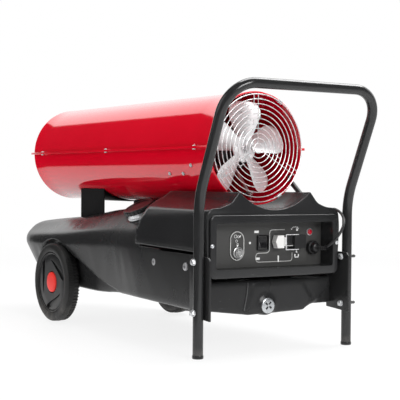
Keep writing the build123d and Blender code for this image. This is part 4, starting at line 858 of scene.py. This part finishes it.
# ---------------------------------------------------------------- fan, motor and pump
# Five pressed aluminium paddles riveted to a hub plate on the shaft of a black motor, which hangs
# in a band on four rods; the gear pump sits on the motor's far end.
aluminium = new_finish("blade_aluminium", (0.9, 0.91, 0.92), 0.36, 0.4)
tree = aluminium.node_tree
place = own_place(tree)
brushed = node(tree, "Mapping", {"Vector": place, "Scale": (60.0, 400.0, 500.0),
                                 "Rotation": (0.0, 0.5, 0.0)}).outputs["Vector"]
lines = noise(tree, brushed, 1.0, 5.0)
blotched = blend(tree, noise(tree, place, 18.0, 7.0), (0.84, 0.85, 0.86), (0.97, 0.98, 0.99))
feed(aluminium, Base_Color=blotched, Roughness=ranged(tree, lines, target=(0.26, 0.44)),
     Normal=dents(tree, lines, 0.12, 0.0002))


def absorb(bm, other):
    """Adds one bmesh's shape to another and frees it."""
    spare = bpy.data.meshes.new("spare")
    other.to_mesh(spare)
    other.free()
    bm.from_mesh(spare)
    bpy.data.meshes.remove(spare)


blades, first_blade = 5, 15
root_reach, blade_long, blade_thick = 22, 96.5, 1.6
root_half, widening, widest_at = 15, 25.5, 0.66
root_tilt, untwist, bow_deep, skew = 35, 9, 5.5, 3.0
fan_at = drum_mid + forward * 138
fan_bm = bmesh.new()
blade_turns = [Matrix.Rotation(-radians(first_blade + 360 / blades * i), 3, "Y") for i in range(blades)]
for turn in blade_turns:
    sheet = bmesh.new()
    bmesh.ops.create_grid(sheet, x_segments=16, y_segments=10, size=1.0)
    for v in sheet.verts:
        along, across = (v.co.x + 1) / 2, v.co.y
        half = root_half + widening * min(1, along / widest_at) ** 0.9
        blunt = max(0.0, (along - widest_at) / (1 - widest_at))
        half *= math.sqrt(max(0.0, 1 - (0.88 * blunt) ** 2.8)) if blunt else 1
        tilt = radians(root_tilt - untwist * along)
        bow = bow_deep * (1 - across**2)
        v.co = turn @ Vector((root_reach + along * blade_long,
                              half * across * sin(tilt) - bow * cos(tilt) + 2,
                              half * across * cos(tilt) + bow * sin(tilt) + skew * along))
    bmesh.ops.solidify(sheet, geom=list(sheet.faces), thickness=blade_thick)
    absorb(fan_bm, sheet)
bmesh.ops.translate(fan_bm, vec=fan_at, verts=fan_bm.verts)
lathe(fan_bm, [(6.1, -2.5), (33, -2.5), (34.6, -1.6), (35, 0), (35, 1.5), (34, 2.5), (19, 2.5), (14, 4),
               (13, 6), (13, 15), (12, 16), (6.1, 16), (6.1, -2.5)], fan_at, forward, 64)
rivet = [(3.2, 4.5), (3.2, -3.0), (2.6, -4.1), (1.2, -4.7), (0, -4.8)]
for turn in blade_turns:
    for off in (7, -7):
        lathe(fan_bm, rivet, fan_at + turn @ Vector((28, 0, off)), forward, 14)
finished("fan_paddles", fan_bm, aluminium, ("fan",), "rotor", 36)

motor_black = textured("motor_black", (0.022, 0.022, 0.024), 0.45, 0.0,
                       ((0.017, 0.017, 0.018), (0.032, 0.032, 0.033)), shine=(0.36, 0.5),
                       bump=(0.3, 0.0003), grain=(420.0, 12.0))
rib_pitch = 7
# cooling ribs before and behind the band's seat, which laps over the last of the front ones
ribs = [(r, along + i * rib_pitch) for i in range(13)
        for r, along in ((54, 17), (54, 19.5), (51.4, 20.4), (51.4, 23))]
motor_profile = [(6.1, 0), (24, 0), (26, 2), (40, 2.5), (48, 5), (53.4, 11), (55, 15)] + ribs[:18]
motor_profile += [(55.0, 36), (55.0, 84), (54, 86)] + [(r, along) for r, along in ribs if 86.5 < along < 108]
motor_profile += [(54.6, 109), (52, 113), (46, 117), (36, 119.6), (6.1, 120), (6.1, 0)]
finished("motor_shell", new_bm(lathe, motor_profile, (0, 165, drum_z), forward, 64), motor_black,
         ("motor",))


def dressed(name, finish, round_edges=0.0, angle=34.0):
    """A CAD node kept as it is, with a finish and, where asked, softly rounded edges."""
    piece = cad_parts[name]
    piece.data.materials.clear()
    piece.data.materials.append(finish)
    if round_edges:
        weld = piece.modifiers.new("weld", "WELD")
        weld.merge_threshold = 0.00002
        eased(piece, round_edges, angle)


dressed("motor_shaft", zinc)
dressed("fan_nut", zinc, 0.7)
dressed("motor_bracket", zinc, 0.5)
dressed("fuel_pump", aluminium, 3.0)


# ---------------------------------------------------------------- burner and flame tube
# Heat-darkened steel: a swirl plate with nozzle, electrodes and photocell, then the flame tube on
# its stays and the round baffle at the hot outlet.
hot_steel = new_finish("hot_steel", (0.3, 0.27, 0.24), 0.42, 0.9)
tree = hot_steel.node_tree
heat = noise(tree, own_place(tree), 9.0, 6.0)
tint = node(tree, "ValToRGB", {"Fac": heat})
ramp = tint.color_ramp.elements
ramp[0].color, ramp[0].position = (0.30, 0.27, 0.25, 1), 0.32
ramp[1].color, ramp[1].position = (0.52, 0.50, 0.48, 1), 0.7
ramp.new(0.52).color = (0.36, 0.27, 0.20, 1)
feed(hot_steel, Base_Color=tint.outputs["Color"], Roughness=ranged(tree, heat, target=(0.3, 0.6)))
brass = textured("brass", (0.7, 0.5, 0.2), 0.3, 1.0, ((0.6, 0.42, 0.17), (0.78, 0.58, 0.27)),
                 shine=(0.22, 0.4), bump=(0.06, 0.0001), grain=(1500.0, 60.0))
ceramic = textured("ceramic", (0.72, 0.69, 0.62), 0.2, 0.0, ((0.66, 0.62, 0.55), (0.78, 0.75, 0.69)),
                   shine=(0.14, 0.26), bump=(0.05, 0.0001), grain=(900.0, 50.0))

tube_profile = [(45, 480), (45, 482), (101, 482), (103, 484), (103, 600), (101.4, 603), (101.4, 609),
                (103, 612), (103, 1046), (104.2, 1049), (105.6, 1049.6), (106.4, 1048), (105.4, 1045.6),
                (105, 1044), (105, 612), (103.4, 609), (103.4, 603), (105, 600), (105, 484), (103.6, 481),
                (101, 480), (45, 480)]
finished("flame_tube", new_bm(lathe, tube_profile, drum_mid, forward, 96), hot_steel,
         ("combustion_chamber",))
baffle_bm = new_bm(lathe, [(0, 983), (24, 982.4), (58, 984), (67, 986.4), (70, 989), (70, 990.4), (66, 988.4),
                           (57, 986), (24, 984.6), (0, 985.2)], drum_mid, forward, 72)
for quarter in range(4):
    arm = new_bm(prism, rect(66, 102.6, -7, 7), "Y", 986.6, 988.4, rounded=0.4, segments=1)
    arm.transform(Matrix.Translation(drum_mid) @ Matrix.Rotation(radians(90 * quarter), 4, "Y"))
    absorb(baffle_bm, arm)
finished("flame_baffle_dished", baffle_bm, hot_steel, ("flame_baffle",))
dressed("burner_head", hot_steel, 0.5)
dressed("chamber_supports", hot_steel, 0.4)
dressed("nozzle", brass, 0.6)
dressed("fuel_lines", brass)
dressed("electrodes", ceramic, 1.2)
dressed("photocell", black_plastic, 0.8)


# ---------------------------------------------------------------- drum supports
# Folded black sheet steel: a saddle with two cheeks on the tank's crown, and a smaller one on the
# deck under the hood. Small plated clips hold the grille to the drum's edge.
sheet_black = textured("sheet_black", (0.007, 0.007, 0.0075), 0.42, 0.0,
                       ((0.005, 0.005, 0.0055), (0.010, 0.010, 0.0105)), shine=(0.36, 0.5),
                       bump=(0.12, 0.0002), grain=(600.0, 10.0), Specular_IOR_Level=0.25)
dressed("drum_bracket", sheet_black, 0.8, 30)
dressed("rear_support", sheet_black, 0.8, 30)
dressed("grille_clips", zinc, 0.5)


# ---------------------------------------------------------------- hood
# Moulded cover over the electrical bay: straight flanks, round shoulders and two horns that come
# up beside the drum, open at its far end.
hood_plastic = textured("hood_plastic", (0.017, 0.0172, 0.018), 0.24, 0.0,
                        ((0.0145, 0.0147, 0.0155), (0.020, 0.0202, 0.021)), shine=(0.18, 0.28),
                        bump=(0.04, 0.0001), grain=(400.0, 4.0), dusty=0.03)
saddle_r, saddle_half = 151.0, 107.0
peak_z = drum_z - math.sqrt(saddle_r**2 - saddle_half**2)
saddle_turn = math.asin(saddle_half / saddle_r)


def over_horns(half, steps):
    """Outline up a right half, over both horns and the saddle between them, and down the left."""
    turns = [saddle_turn * (1 - i / steps) for i in range(1, 2 * steps)]
    saddle = [(saddle_r * sin(turn), drum_z - saddle_r * cos(turn)) for turn in turns]
    return [*half, (saddle_half, peak_z), *saddle, (-saddle_half, peak_z), *mirrored(half)]


def cuts_over_horns(cuts, steps):
    """Cuts for that outline: a right half's with its horn, none along the saddle, and the left's."""
    return [*cuts, *[0] * (2 * steps - 1), *reversed(cuts)]


rear_half = ((204, 243), (204.2, 262), (202.8, 264), (202.4, 300), (199, 332), (188, 346), (158, 350),
             (131, 360))
front_half = ((215, 252), (214.8, 271), (213.4, 273), (211, 286), (199, 318), (180, 344), (151, 363),
              (128, 373))
hood_rear, hood_front = 14.0, 311.0
hood_bm = bmesh.new()
hood_rings = []
for share in (0.0, 0.04, 0.2, 0.4, 0.6, 0.8, 0.96, 1.0):
    half = [(a[0] + (b[0] - a[0]) * share, a[1] + (b[1] - a[1]) * share)
            for a, b in zip(rear_half, front_half)]
    face = rounded_face(hood_bm, over_horns(half, 12), hood_rear + (hood_front - hood_rear) * share,
                        cuts_over_horns((0, 0.5, 0.5, 8, 9, 7, 10, 9, 5), 12), 5)
    below = [edge for edge in face.edges
             if all(abs(v.co.z - half[0][1]) < same_plane for v in edge.verts)]
    hood_rings.append([edge for edge in face.edges if edge not in below])
    bmesh.ops.delete(hood_bm, geom=[face], context="FACES_ONLY")
    bmesh.ops.delete(hood_bm, geom=below, context="EDGES")
for near, far in zip(hood_rings, hood_rings[1:]):
    bmesh.ops.bridge_loops(hood_bm, edges=near + far)
closed(hood_bm)
if max(hood_bm.faces, key=lambda f: f.calc_center_median().x).normal.x < 0:
    bmesh.ops.reverse_faces(hood_bm, faces=hood_bm.faces)
hood = finished("hood_cover", hood_bm, hood_plastic, ("panel_cover",), sharp=40,
                outward=False)
wall = hood.modifiers.new("wall", "SOLIDIFY")
wall.thickness, wall.offset, wall.use_even_offset = 0.0029, -1, True
eased(hood, 1.0, 50)

# beads along the lower edges of the flanks and up their far ends
lip_bm = bmesh.new()
for side in (-1, 1):
    rod(lip_bm, (side * 204.2, 15, 246), (side * 215.3, 310, 255), 1.7, 12)
    rod(lip_bm, (side * 213.6, 311.6, 254), (side * 209.8, 311.6, 290), 2.3, 12)
finished("hood_lip", lip_bm, hood_plastic)


# ---------------------------------------------------------------- bezel
# Moulded end frame of the hood: it repeats the hood's outline, carries a raised border and sinks
# to a rectangular well for the controls. Two screws hold it.
bezel_half = ((196, 182), (202, 301), (199, 334), (190, 347), (158, 349.5), (131, 360))
border_half, border_low, border_high = 193.5, 182.6, 332
well_half, well_low, well_high = 176.0, 203.0, 313.0
plate_ahead, plate_thick = 45.0, 1.5


def rounded_block(outline, cuts, near, far, soft=0.0, segments=3):
    """A closed block across the heater whose given corners are rounded, with a softened near edge."""
    bm = bmesh.new()
    thicken(bm, [rounded_face(bm, outline, near, cuts, 6)], forward * (far - near))
    if soft:
        edges = [edge for edge in bm.edges if all(abs(v.co.y - near) < same_plane for v in edge.verts)]
        soften(bm, edges, soft, segments)
    return bm


def well_block(grow, cut, near, far):
    """A block as wide and high as the well, grown all round."""
    return rounded_block(rect(-well_half - grow, well_half + grow, well_low - grow, well_high + grow),
                         (cut,) * 4, near, far)


sheet = rounded_block(over_horns(bezel_half, 16), cuts_over_horns((24, 12, 8, 9, 9, 8, 4), 16),
                      near=3, far=14, soft=2.4)
border = rounded_block(rect(-border_half, border_half, border_low, border_high), (15,) * 4,
                       near=-3, far=8, soft=3.4, segments=4)
well = well_block(grow=2.6, cut=8, near=5, far=plate_ahead)
bezel_bm = worked(sheet, [border, well], [well_block(grow=0, cut=6, near=-20, far=60)])
bezel = finished("bezel_frame", bezel_bm, hood_plastic, ("panel_bezel",), sharp=44)
eased(bezel, 1.1, 50, 3)

bezel_screw_bm = bmesh.new()
for side in (-1, 1):
    pan_head(bezel_screw_bm, (side * 188, -3, 260), -forward, radius=5, height=2.8, turn=20 * side)
finished("bezel_screw_heads", bezel_screw_bm, zinc, ("bezel_screws",))


# ---------------------------------------------------------------- control plate
# Black sheet at the bottom of the well, bored for the reset button, and screen printed in pale
# grey and white: a line that runs round the switch, and short tally marks.
panel_paint = textured("panel_paint", (0.050, 0.0495, 0.048), 0.42, 0.0,
                       ((0.046, 0.0455, 0.044), (0.056, 0.0555, 0.054)), shine=(0.38, 0.5),
                       bump=(0.14, 0.0002), grain=(900.0, 9.0))
print_ink = textured("print_ink", (0.46, 0.46, 0.45), 0.5, 0.0, ((0.40, 0.40, 0.39), (0.52, 0.52, 0.51)),
                     shine=(0.42, 0.56), bump=(0.1, 0.0001), grain=(1500.0, 60.0))
white_ink = textured("white_ink", (0.85, 0.85, 0.84), 0.5, 0.0, ((0.78, 0.78, 0.77), (0.90, 0.90, 0.89)),
                     shine=(0.42, 0.56), bump=(0.1, 0.0001), grain=(1500.0, 60.0))
printed_at, seated_at, ink_thick = plate_ahead - 0.02, plate_ahead - 0.01, 0.12
reset_at = Vector((-83, 0, 239))


def button_hole(bm):
    """Bores for the reset button and its travel."""
    return worked(bm, cuts=[new_bm(lathe, [(0, 30), (7.4, 30), (7.4, 60), (0, 60)], reset_at, forward, 40)])


plate_bm = well_block(grow=-0.2, cut=5.5, near=plate_ahead, far=plate_ahead + plate_thick)
finished("control_sheet", button_hole(plate_bm), panel_paint, ("control_plate",))


def softened(corners, cuts, steps=6):
    """Corners of an open route after those with a cut are rounded off."""
    route = []
    for i, (corner, cut) in enumerate(zip(corners, cuts)):
        here = Vector(corner)
        if not cut:
            route.append(here)
            continue
        a, b = ((Vector(corners[j]) - here).normalized() * cut for j in (i - 1, i + 1))
        route += [here + a * (1 - k / steps) ** 2 + b * (k / steps) ** 2 for k in range(steps + 1)]
    return [Vector((x, printed_at, z)) for x, z in route]


def band(inner, outer, thick, joined=False):
    """A flat strip between two rows of places, raised by its thickness along Y."""
    bm = bmesh.new()
    rows = [[bm.verts.new(spot) for spot in row] for row in (inner, outer)]
    for i in range(0 if joined else 1, len(inner)):
        bm.faces.new((rows[0][i - 1], rows[0][i], rows[1][i], rows[1][i - 1]))
    bmesh.ops.recalc_face_normals(bm, faces=bm.faces)
    thicken(bm, list(bm.faces), forward * thick)
    return bm


line_wide = 1.9
route = softened([(60, 293), (14, 293), (14, 236.5), (-28, 236.5), (-28, 214.5), (84, 214.5), (84, 236)],
                 [0, 9, 12, 10, 10, 9, 0])
sides = []
for i, spot in enumerate(route):
    before = route[i - 1] if i else spot * 2 - route[1]
    after = route[i + 1] if i + 1 < len(route) else spot * 2 - before
    a, b = (spot - before).normalized(), (after - spot).normalized()
    along = (a + b).normalized()
    sides.append(Vector((-along.z, 0, along.x)) * (line_wide / 2 / max(0.5, along.dot(a))))
lines_bm = band([spot - side for spot, side in zip(route, sides)],
                [spot + side for spot, side in zip(route, sides)], -ink_thick)
finished("panel_print_lines", lines_bm, print_ink)


def middled(x, z, wide, high):
    """Corners of a rectangle about its middle."""
    return rect(x - wide / 2, x + wide / 2, z - high / 2, z + high / 2)


tally = bmesh.new()
marks = [(-26, 289, 13, 5.6), (-22, 223, 12, 5.6), (41, 221, 4.2, 16)]
for i in range(6):
    turn = radians(160 - i * 26)
    marks.append((93 + 11.5 * cos(turn), 291 + 8.5 * sin(turn), 3, 3))
marks += [(99, 292, 6, 6), (98, 237, 5, 5), (93, 228, 3, 7), (104, 228, 3, 6), (98.5, 223.5, 12, 2.4)]
for mark in marks:
    prism(tally, middled(*mark), "Y", printed_at - 0.14, printed_at)
lathe(tally, [(0, 43.4), (2.2, 43.6), (3.0, 44.4), (3.2, printed_at), (0, printed_at)], (-46, 0, 262),
      forward, 20)
finished("panel_print_marks", tally, white_ink)


# ---------------------------------------------------------------- reset button
# Oval black plate with a printed border and small signs; a knurled plated bush at its lower end
# guides the domed button, which a spring behind it pushes out.
bush_plate = textured("bush_plate", (0.5, 0.5, 0.5), 0.34, 0.85, ((0.42, 0.42, 0.42), (0.6, 0.6, 0.6)),
                      shine=(0.26, 0.44), bump=(0.1, 0.0001), grain=(1500.0, 50.0))
oval_x, oval_z, oval_half, oval_straight, oval_front = -85.0, 256.0, 21.5, 14.5, 43.0
oval = [(oval_x + oval_half * cos(radians(a)),
         oval_z + (oval_straight if a < 180 else -oval_straight) + oval_half * sin(radians(a)))
        for a in range(0, 361, 12)]
oval_bm = rounded_block(oval, (0,) * len(oval), near=oval_front, far=seated_at, soft=0.7, segments=2)
finished("reset_plate", button_hole(oval_bm), panel_paint, ("reset_bush",))

inner, outer = [], []
for x, z in oval:
    spot = Vector((x, oval_front - 0.1, z))
    level = max(-oval_straight, min(oval_straight, z - oval_z))
    towards = Vector((oval_x - x, 0, oval_z + level - z)).normalized()
    inner.append(spot + towards * 2.9)
    outer.append(spot + towards * 0.6)
finished("reset_border", band(inner, outer, ink_thick, joined=True), print_ink)

signs_bm = bmesh.new()
for x, z, size in ((-90, 279, 5.0), (-82, 278, 3.4), (-87, 268, 3.6), (-84, 260, 2.8)):
    hoop(signs_bm, (x, 42.85, z), forward, size * 0.75, wire=0.5, steps=20, sides=6)
for arrow in (((-80, 279), (-74, 282), (-77, 275)), ((-87, 258), (-81, 258), (-84, 252))):
    prism(signs_bm, arrow, "Y", 42.75, 42.95)
finished("reset_marks", signs_bm, white_ink)

bush_bm = new_bm(lathe, [(6.9, 41.2), (6.9, 36.4), (7.5, 35.6), (9.0, 35.2), (10.6, 35.4), (11.3, 36.2),
                         (11.5, 37.4), (11.5, 39.6), (13.8, 39.9), (14.6, 40.5), (14.6, 42.6), (14.0, 43.0),
                         (6.9, 43.0), (6.9, 41.2)], reset_at, forward, 72)
knurl_deep, knurl_degrees = 0.7, 5
for v in bush_bm.verts:
    _, radial = off_axis(v, reset_at, forward)
    turned = math.degrees(math.atan2(radial.z, radial.x))
    if 10.9 < radial.length < 11.8 and int(turned // knurl_degrees) % 2:
        v.co -= radial.normalized() * knurl_deep
finished("reset_collar", bush_bm, bush_plate, sharp=40)
button_bm = new_bm(lathe, [(0, 35.6), (4.6, 35.5), (5.6, 35.3), (6.1, 35.5), (6.5, 36.2), (6.5, 43.6),
                           (0, 43.6)], reset_at, forward, 40)
finished("reset_button_domed", button_bm, bush_plate, ("reset_button",), "reset_button", 60)


# ---------------------------------------------------------------- switch
# Snap-in rocker switch of glossy black plastic: a raised frame, clipped in the plate, and a
# curved rocker in it that tips about the middle.
rocker_black = textured("rocker_black", (0.012, 0.012, 0.013), 0.2, 0.0,
                        ((0.009, 0.009, 0.010), (0.018, 0.018, 0.019)), shine=(0.16, 0.26),
                        bump=(0.08, 0.0001), grain=(1600.0, 30.0))
rocker_at = -8.0, 262.0
frame_blank = rounded_block(middled(*rocker_at, 35, 38), (3,) * 4, near=40, far=seated_at, soft=1.3)
frame_cut = rounded_block(middled(*rocker_at, 27.8, 32.8), (1.5,) * 4, near=30, far=60)
finished("rocker_bezel", worked(frame_blank, cuts=[frame_cut]), rocker_black,
         ("rocker_frame",))
dressed("rocker", rocker_black, 0.7)


# ---------------------------------------------------------------- pilot lamp
# Faceted red plastic lens over a small lamp, in a pale plated ring that sits on the front of
# the plate.
lens_red = new_finish("lamp_lens", (0.55, 0.004, 0.02), 0.12)
tree = lens_red.node_tree
cells = node(tree, "TexVoronoi", {"Vector": own_place(tree), "Scale": 420.0}).outputs["Distance"]
# lighter red in the middle of each facet and darker red at its edges: painted glints and shade of light in
# the facets
painted_facet_glints = blend(tree, ranged(tree, cells, (0.0, 0.8)), (0.72, 0.012, 0.04), (0.26, 0.0, 0.008))
feed(lens_red, Base_Color=painted_facet_glints, Roughness=ranged(tree, cells, target=(0.08, 0.2)),
     Normal=dents(tree, cells, 0.3, 0.0006))
lamp_at = (138, 0, 286)
lens_bm = new_bm(lathe, [(0, 39.2), (2.4, 39.35), (4.8, 39.9), (6.4, 40.9), (7.0, 42.0), (7.0, 44.9),
                         (0, 44.9)], lamp_at, forward, 40)
finished("pilot_lens", lens_bm, lens_red, ("pilot_lamp",), sharp=60)
lens_ring_bm = new_bm(lathe, [(7.05, 44.9), (7.05, 42.9), (7.4, 42.5), (8.4, 42.6), (9.0, 43.3), (9.0, 44.9),
                              (7.05, 44.9)], lamp_at, forward)
finished("pilot_ring", lens_ring_bm, zinc)


# ---------------------------------------------------------------- cable gland
# Black nylon gland screwed in the plate: a ten-sided body, a domed clamping nut and, round the
# cord, a ribbed strain relief of rubber.
gland_at = (145, 0, 247)
gland_bm = new_bm(lathe, [(0, 44.95), (17.6, 44.95), (17.9, 43.6), (17.9, 34.4), (16.6, 33.0), (12.6, 33.0),
                          (12.6, 31.6), (13.6, 31.0), (13.8, 29.6), (13.0, 25.4), (10.8, 22.4), (8.0, 21.2),
                          (5.2, 20.9), (0, 20.9)], gland_at, forward, 10, start=rightward)
gland = finished("cable_gland_body", gland_bm, black_plastic, ("cable_gland",), sharp=25)
eased(gland, 0.6, 30)
relief = [(3.4, 24), (6.6, 24), (6.6, 20.6)]
for rib in range(5):
    rib_r, rib_at = 6.0 - 0.38 * rib, -rib * 7.2
    relief += [(rib_r, 20.2 + rib_at), (rib_r, 18.0 + rib_at), (rib_r - 0.9, 17.4 + rib_at),
               (rib_r - 0.9, 13.8 + rib_at)]
relief += [(3.9, -16.2), (3.55, -17), (3.4, -17), (3.4, 24)]
finished("cord_strain_relief", new_bm(lathe, relief, gland_at, forward, 24), cord_sheath,
         sharp=50)


# ---------------------------------------------------------------- thermostat socket and plug
# Black moulded socket with a wire bail that swings over the plug. The white moulded plug in it has
# a tongue and a ribbed black sleeve.
white_plastic = textured("white_plastic", (0.74, 0.73, 0.71), 0.34, 0.0,
                         ((0.69, 0.68, 0.66), (0.79, 0.785, 0.77)), shine=(0.28, 0.42),
                         bump=(0.14, 0.0002), grain=(900.0, 14.0))
dressed("thermostat_plug", white_plastic, 1.4, 25)
sleeve_bm = new_bm(prism, rect(50.5, 73.2, 254.4, 277.6), "Y", 26.2, 39.6, rounded=0.9)
for x in (55.5, 60.5, 65.5):
    prism(sleeve_bm, rect(x - 1, x + 1, 255.4, 276.6), "Y", 25.4, 27, rounded=0.4, segments=1)
finished("plug_sleeve", sleeve_bm, black_plastic, body="thermostat_plug")
dressed("thermostat_socket", black_plastic, 1.0, 25)
dressed("socket_bail", wire_chrome)


# ---------------------------------------------------------------- conduit and hidden electrics
# Black cable sleeve from the hood to the drum, and the moulded boxes of the burner control and
# the ignition transformer, screwed down under the hood.
dressed("conduit", black_plastic)
dressed("control_box", black_plastic, 1.2)
dressed("ignition_transformer", black_plastic, 1.2)


# ---------------------------------------------------------------- axle
# Plated steel bar in a groove of the tank, held by two straps, with a spring clip at each end
# that keeps the wheel on.
dressed("axle", zinc, 0.6)
dressed("axle_straps", zinc, 0.4)
dressed("axle_clips", zinc, 0.3)


# ---------------------------------------------------------------- strainer, seals and the cord's tie
# Woven strainer in the filler, rubber rings at the filler and drain, and the band round the coil.
# The strainer's wires are a pattern on its surface, with painted shade in the openings between them.
strainer_mesh = new_finish("strainer_mesh", (0.42, 0.42, 0.40), 0.4, 0.8)
tree = strainer_mesh.node_tree
place = own_place(tree)
weft, warp = (node(tree, "TexWave", {"Vector": place, "Scale": 320.0}, bands_direction=way).outputs["Fac"]
              for way in "ZX")
weave = maths(tree, "MAXIMUM", weft, warp)
# the dark squares between the wires are painted shade, standing for the openings into the dark tank
feed(strainer_mesh, Base_Color=blend(tree, weave, (0.10, 0.10, 0.10), (0.55, 0.55, 0.53)),
     Roughness=ranged(tree, weave, target=(0.6, 0.34)), Normal=dents(tree, weave, 0.5, 0.0003))
seal_rubber = textured("seal_rubber", (0.014, 0.014, 0.014), 0.6, 0.0,
                       ((0.011, 0.011, 0.011), (0.02, 0.02, 0.02)), shine=(0.54, 0.68),
                       bump=(0.2, 0.0002), grain=(1200.0, 30.0))
dressed("fuel_strainer", strainer_mesh)
dressed("tank_seals", seal_rubber, 0.6)
dressed("cord_tie", black_plastic, 0.4)


# ---------------------------------------------------------------- floor, sky and lamps
# A white sweep in a photographer's studio, with wide soft panels overhead, to the left and near
# the camera. Mirrored rays see the sweep bright ahead and dim elsewhere.
photo_way = (0.522, 0.853, 0.0)
white = (1, 1, 1, 1)


def dot(tree, way):
    """How far a direction points the way that the photograph looks."""
    return node(tree, "VectorMath", {0: way, 1: photo_way}, operation="DOT_PRODUCT").outputs["Value"]


def paleness(tree, way):
    """Brightness of the sweep in a direction."""
    return ranged(tree, dot(tree, way), (0.62, 0.92), (0.36, 1.0), smooth=True)


def in_view(tree, ray):
    """Rays that show a surface, and don't light it."""
    seen = maths(tree, "MAXIMUM", ray["Is Camera Ray"], ray["Is Glossy Ray"])
    return maths(tree, "MAXIMUM", seen, ray["Is Transmission Ray"])


def mixed(tree, share, first, second):
    """Value between two."""
    return node(tree, "Mix", {0: share, 2: first, 3: second}).outputs[0]


floor_white = bpy.data.materials.new("floor_white")
floor_white.use_nodes = True
tree = floor_white.node_tree
shader = tree.nodes["Principled BSDF"]
shader.inputs["Base Color"].default_value = (0.88, 0.885, 0.89, 1)
shader.inputs["Roughness"].default_value = 0.5
ray = node(tree, "LightPath").outputs
spot = node(tree, "NewGeometry").outputs["Position"]
away = node(tree, "VectorMath", {0: spot}, operation="LENGTH").outputs["Value"]
way = node(tree, "VectorMath", {0: spot}, operation="NORMALIZE").outputs["Vector"]
far = ranged(tree, away, (1.2, 4.5), smooth=True)
strength = mixed(tree, far, 1.0, paleness(tree, way))
right_of = ranged(tree, node(tree, "SeparateXYZ", {0: spot}).outputs["X"], (-0.90, -0.80), (0.03, 1.0),
                  smooth=True)
past = ranged(tree, node(tree, "SeparateXYZ", {0: way}).outputs["X"], (-0.17, -0.10), smooth=True)
dimmed = maths(tree, "MULTIPLY", strength, maths(tree, "MAXIMUM", right_of, past))
shown = node(tree, "Emission", {"Color": white,
                                "Strength": mixed(tree, ray["Is Glossy Ray"], strength, dimmed)})
share = maths(tree, "MULTIPLY", in_view(tree, ray), ranged(tree, far, target=(0.84, 1.0)))
share = maths(tree, "MAXIMUM", share, ray["Is Glossy Ray"])
pick = node(tree, "MixShader", {0: share, 1: shader.outputs[0], 2: shown.outputs[0]})
tree.links.new(pick.outputs[0], tree.nodes["Material Output"].inputs["Surface"])
bpy.ops.mesh.primitive_plane_add(size=80, location=(0, 0, 0))
floor = bpy.context.object
floor.name = "studio_floor"
floor.data.materials.append(floor_white)

sky = bpy.data.worlds.new("studio")
bpy.context.scene.world = sky
sky.use_nodes = True
tree = sky.node_tree
plain = tree.nodes["Background"]
plain.inputs["Color"].default_value = white
plain.inputs["Strength"].default_value = 0.62
ray = node(tree, "LightPath").outputs
way = node(tree, "TexCoord").outputs["Generated"]
aside = node(tree, "SeparateXYZ", {0: way}).outputs
panel = maths(tree, "MULTIPLY", ranged(tree, dot(tree, way), (0.25, 0.35), smooth=True),
              ranged(tree, aside["X"], (-0.10, -0.055), smooth=True))
panel = maths(tree, "MULTIPLY", panel, ranged(tree, aside["Z"], (0.12, 0.42), (1.0, 1.5), smooth=True))
strength = mixed(tree, ray["Is Glossy Ray"], paleness(tree, way), maths(tree, "MAXIMUM", panel, 0.035))
bright = node(tree, "Background", {"Color": white, "Strength": strength})
pick = node(tree, "MixShader", {0: in_view(tree, ray), 1: plain.outputs[0], 2: bright.outputs[0]})
tree.links.new(pick.outputs[0], tree.nodes["World Output"].inputs["Surface"])


def soft_panel(name, place, target, wide, high, power):
    """A white lamp with a diffuser, facing a place on the object."""
    data = bpy.data.lights.new(name, "AREA")
    data.shape, data.size, data.size_y, data.energy = "RECTANGLE", wide, high, power
    lamp = bpy.data.objects.new(name, data)
    lamp.location = place
    lamp.rotation_euler = (Vector(target) - Vector(place)).to_track_quat("-Z", "Y").to_euler()
    bpy.context.scene.collection.objects.link(lamp)


soft_panel("overhead_panel", (0.9, -0.2, 2.6), (0.1, 0.0, 0.4), 1.3, 2.6, 80)
soft_panel("left_panel", (-2.8, 0.6, 1.5), (0, 0.2, 0.45), 2.2, 2.4, 20)
soft_panel("near_panel", (0.2, -3.6, 1.6), (0, -0.2, 0.3), 1.6, 1.2, 60)

bpy.context.scene.view_settings.view_transform = "Standard"
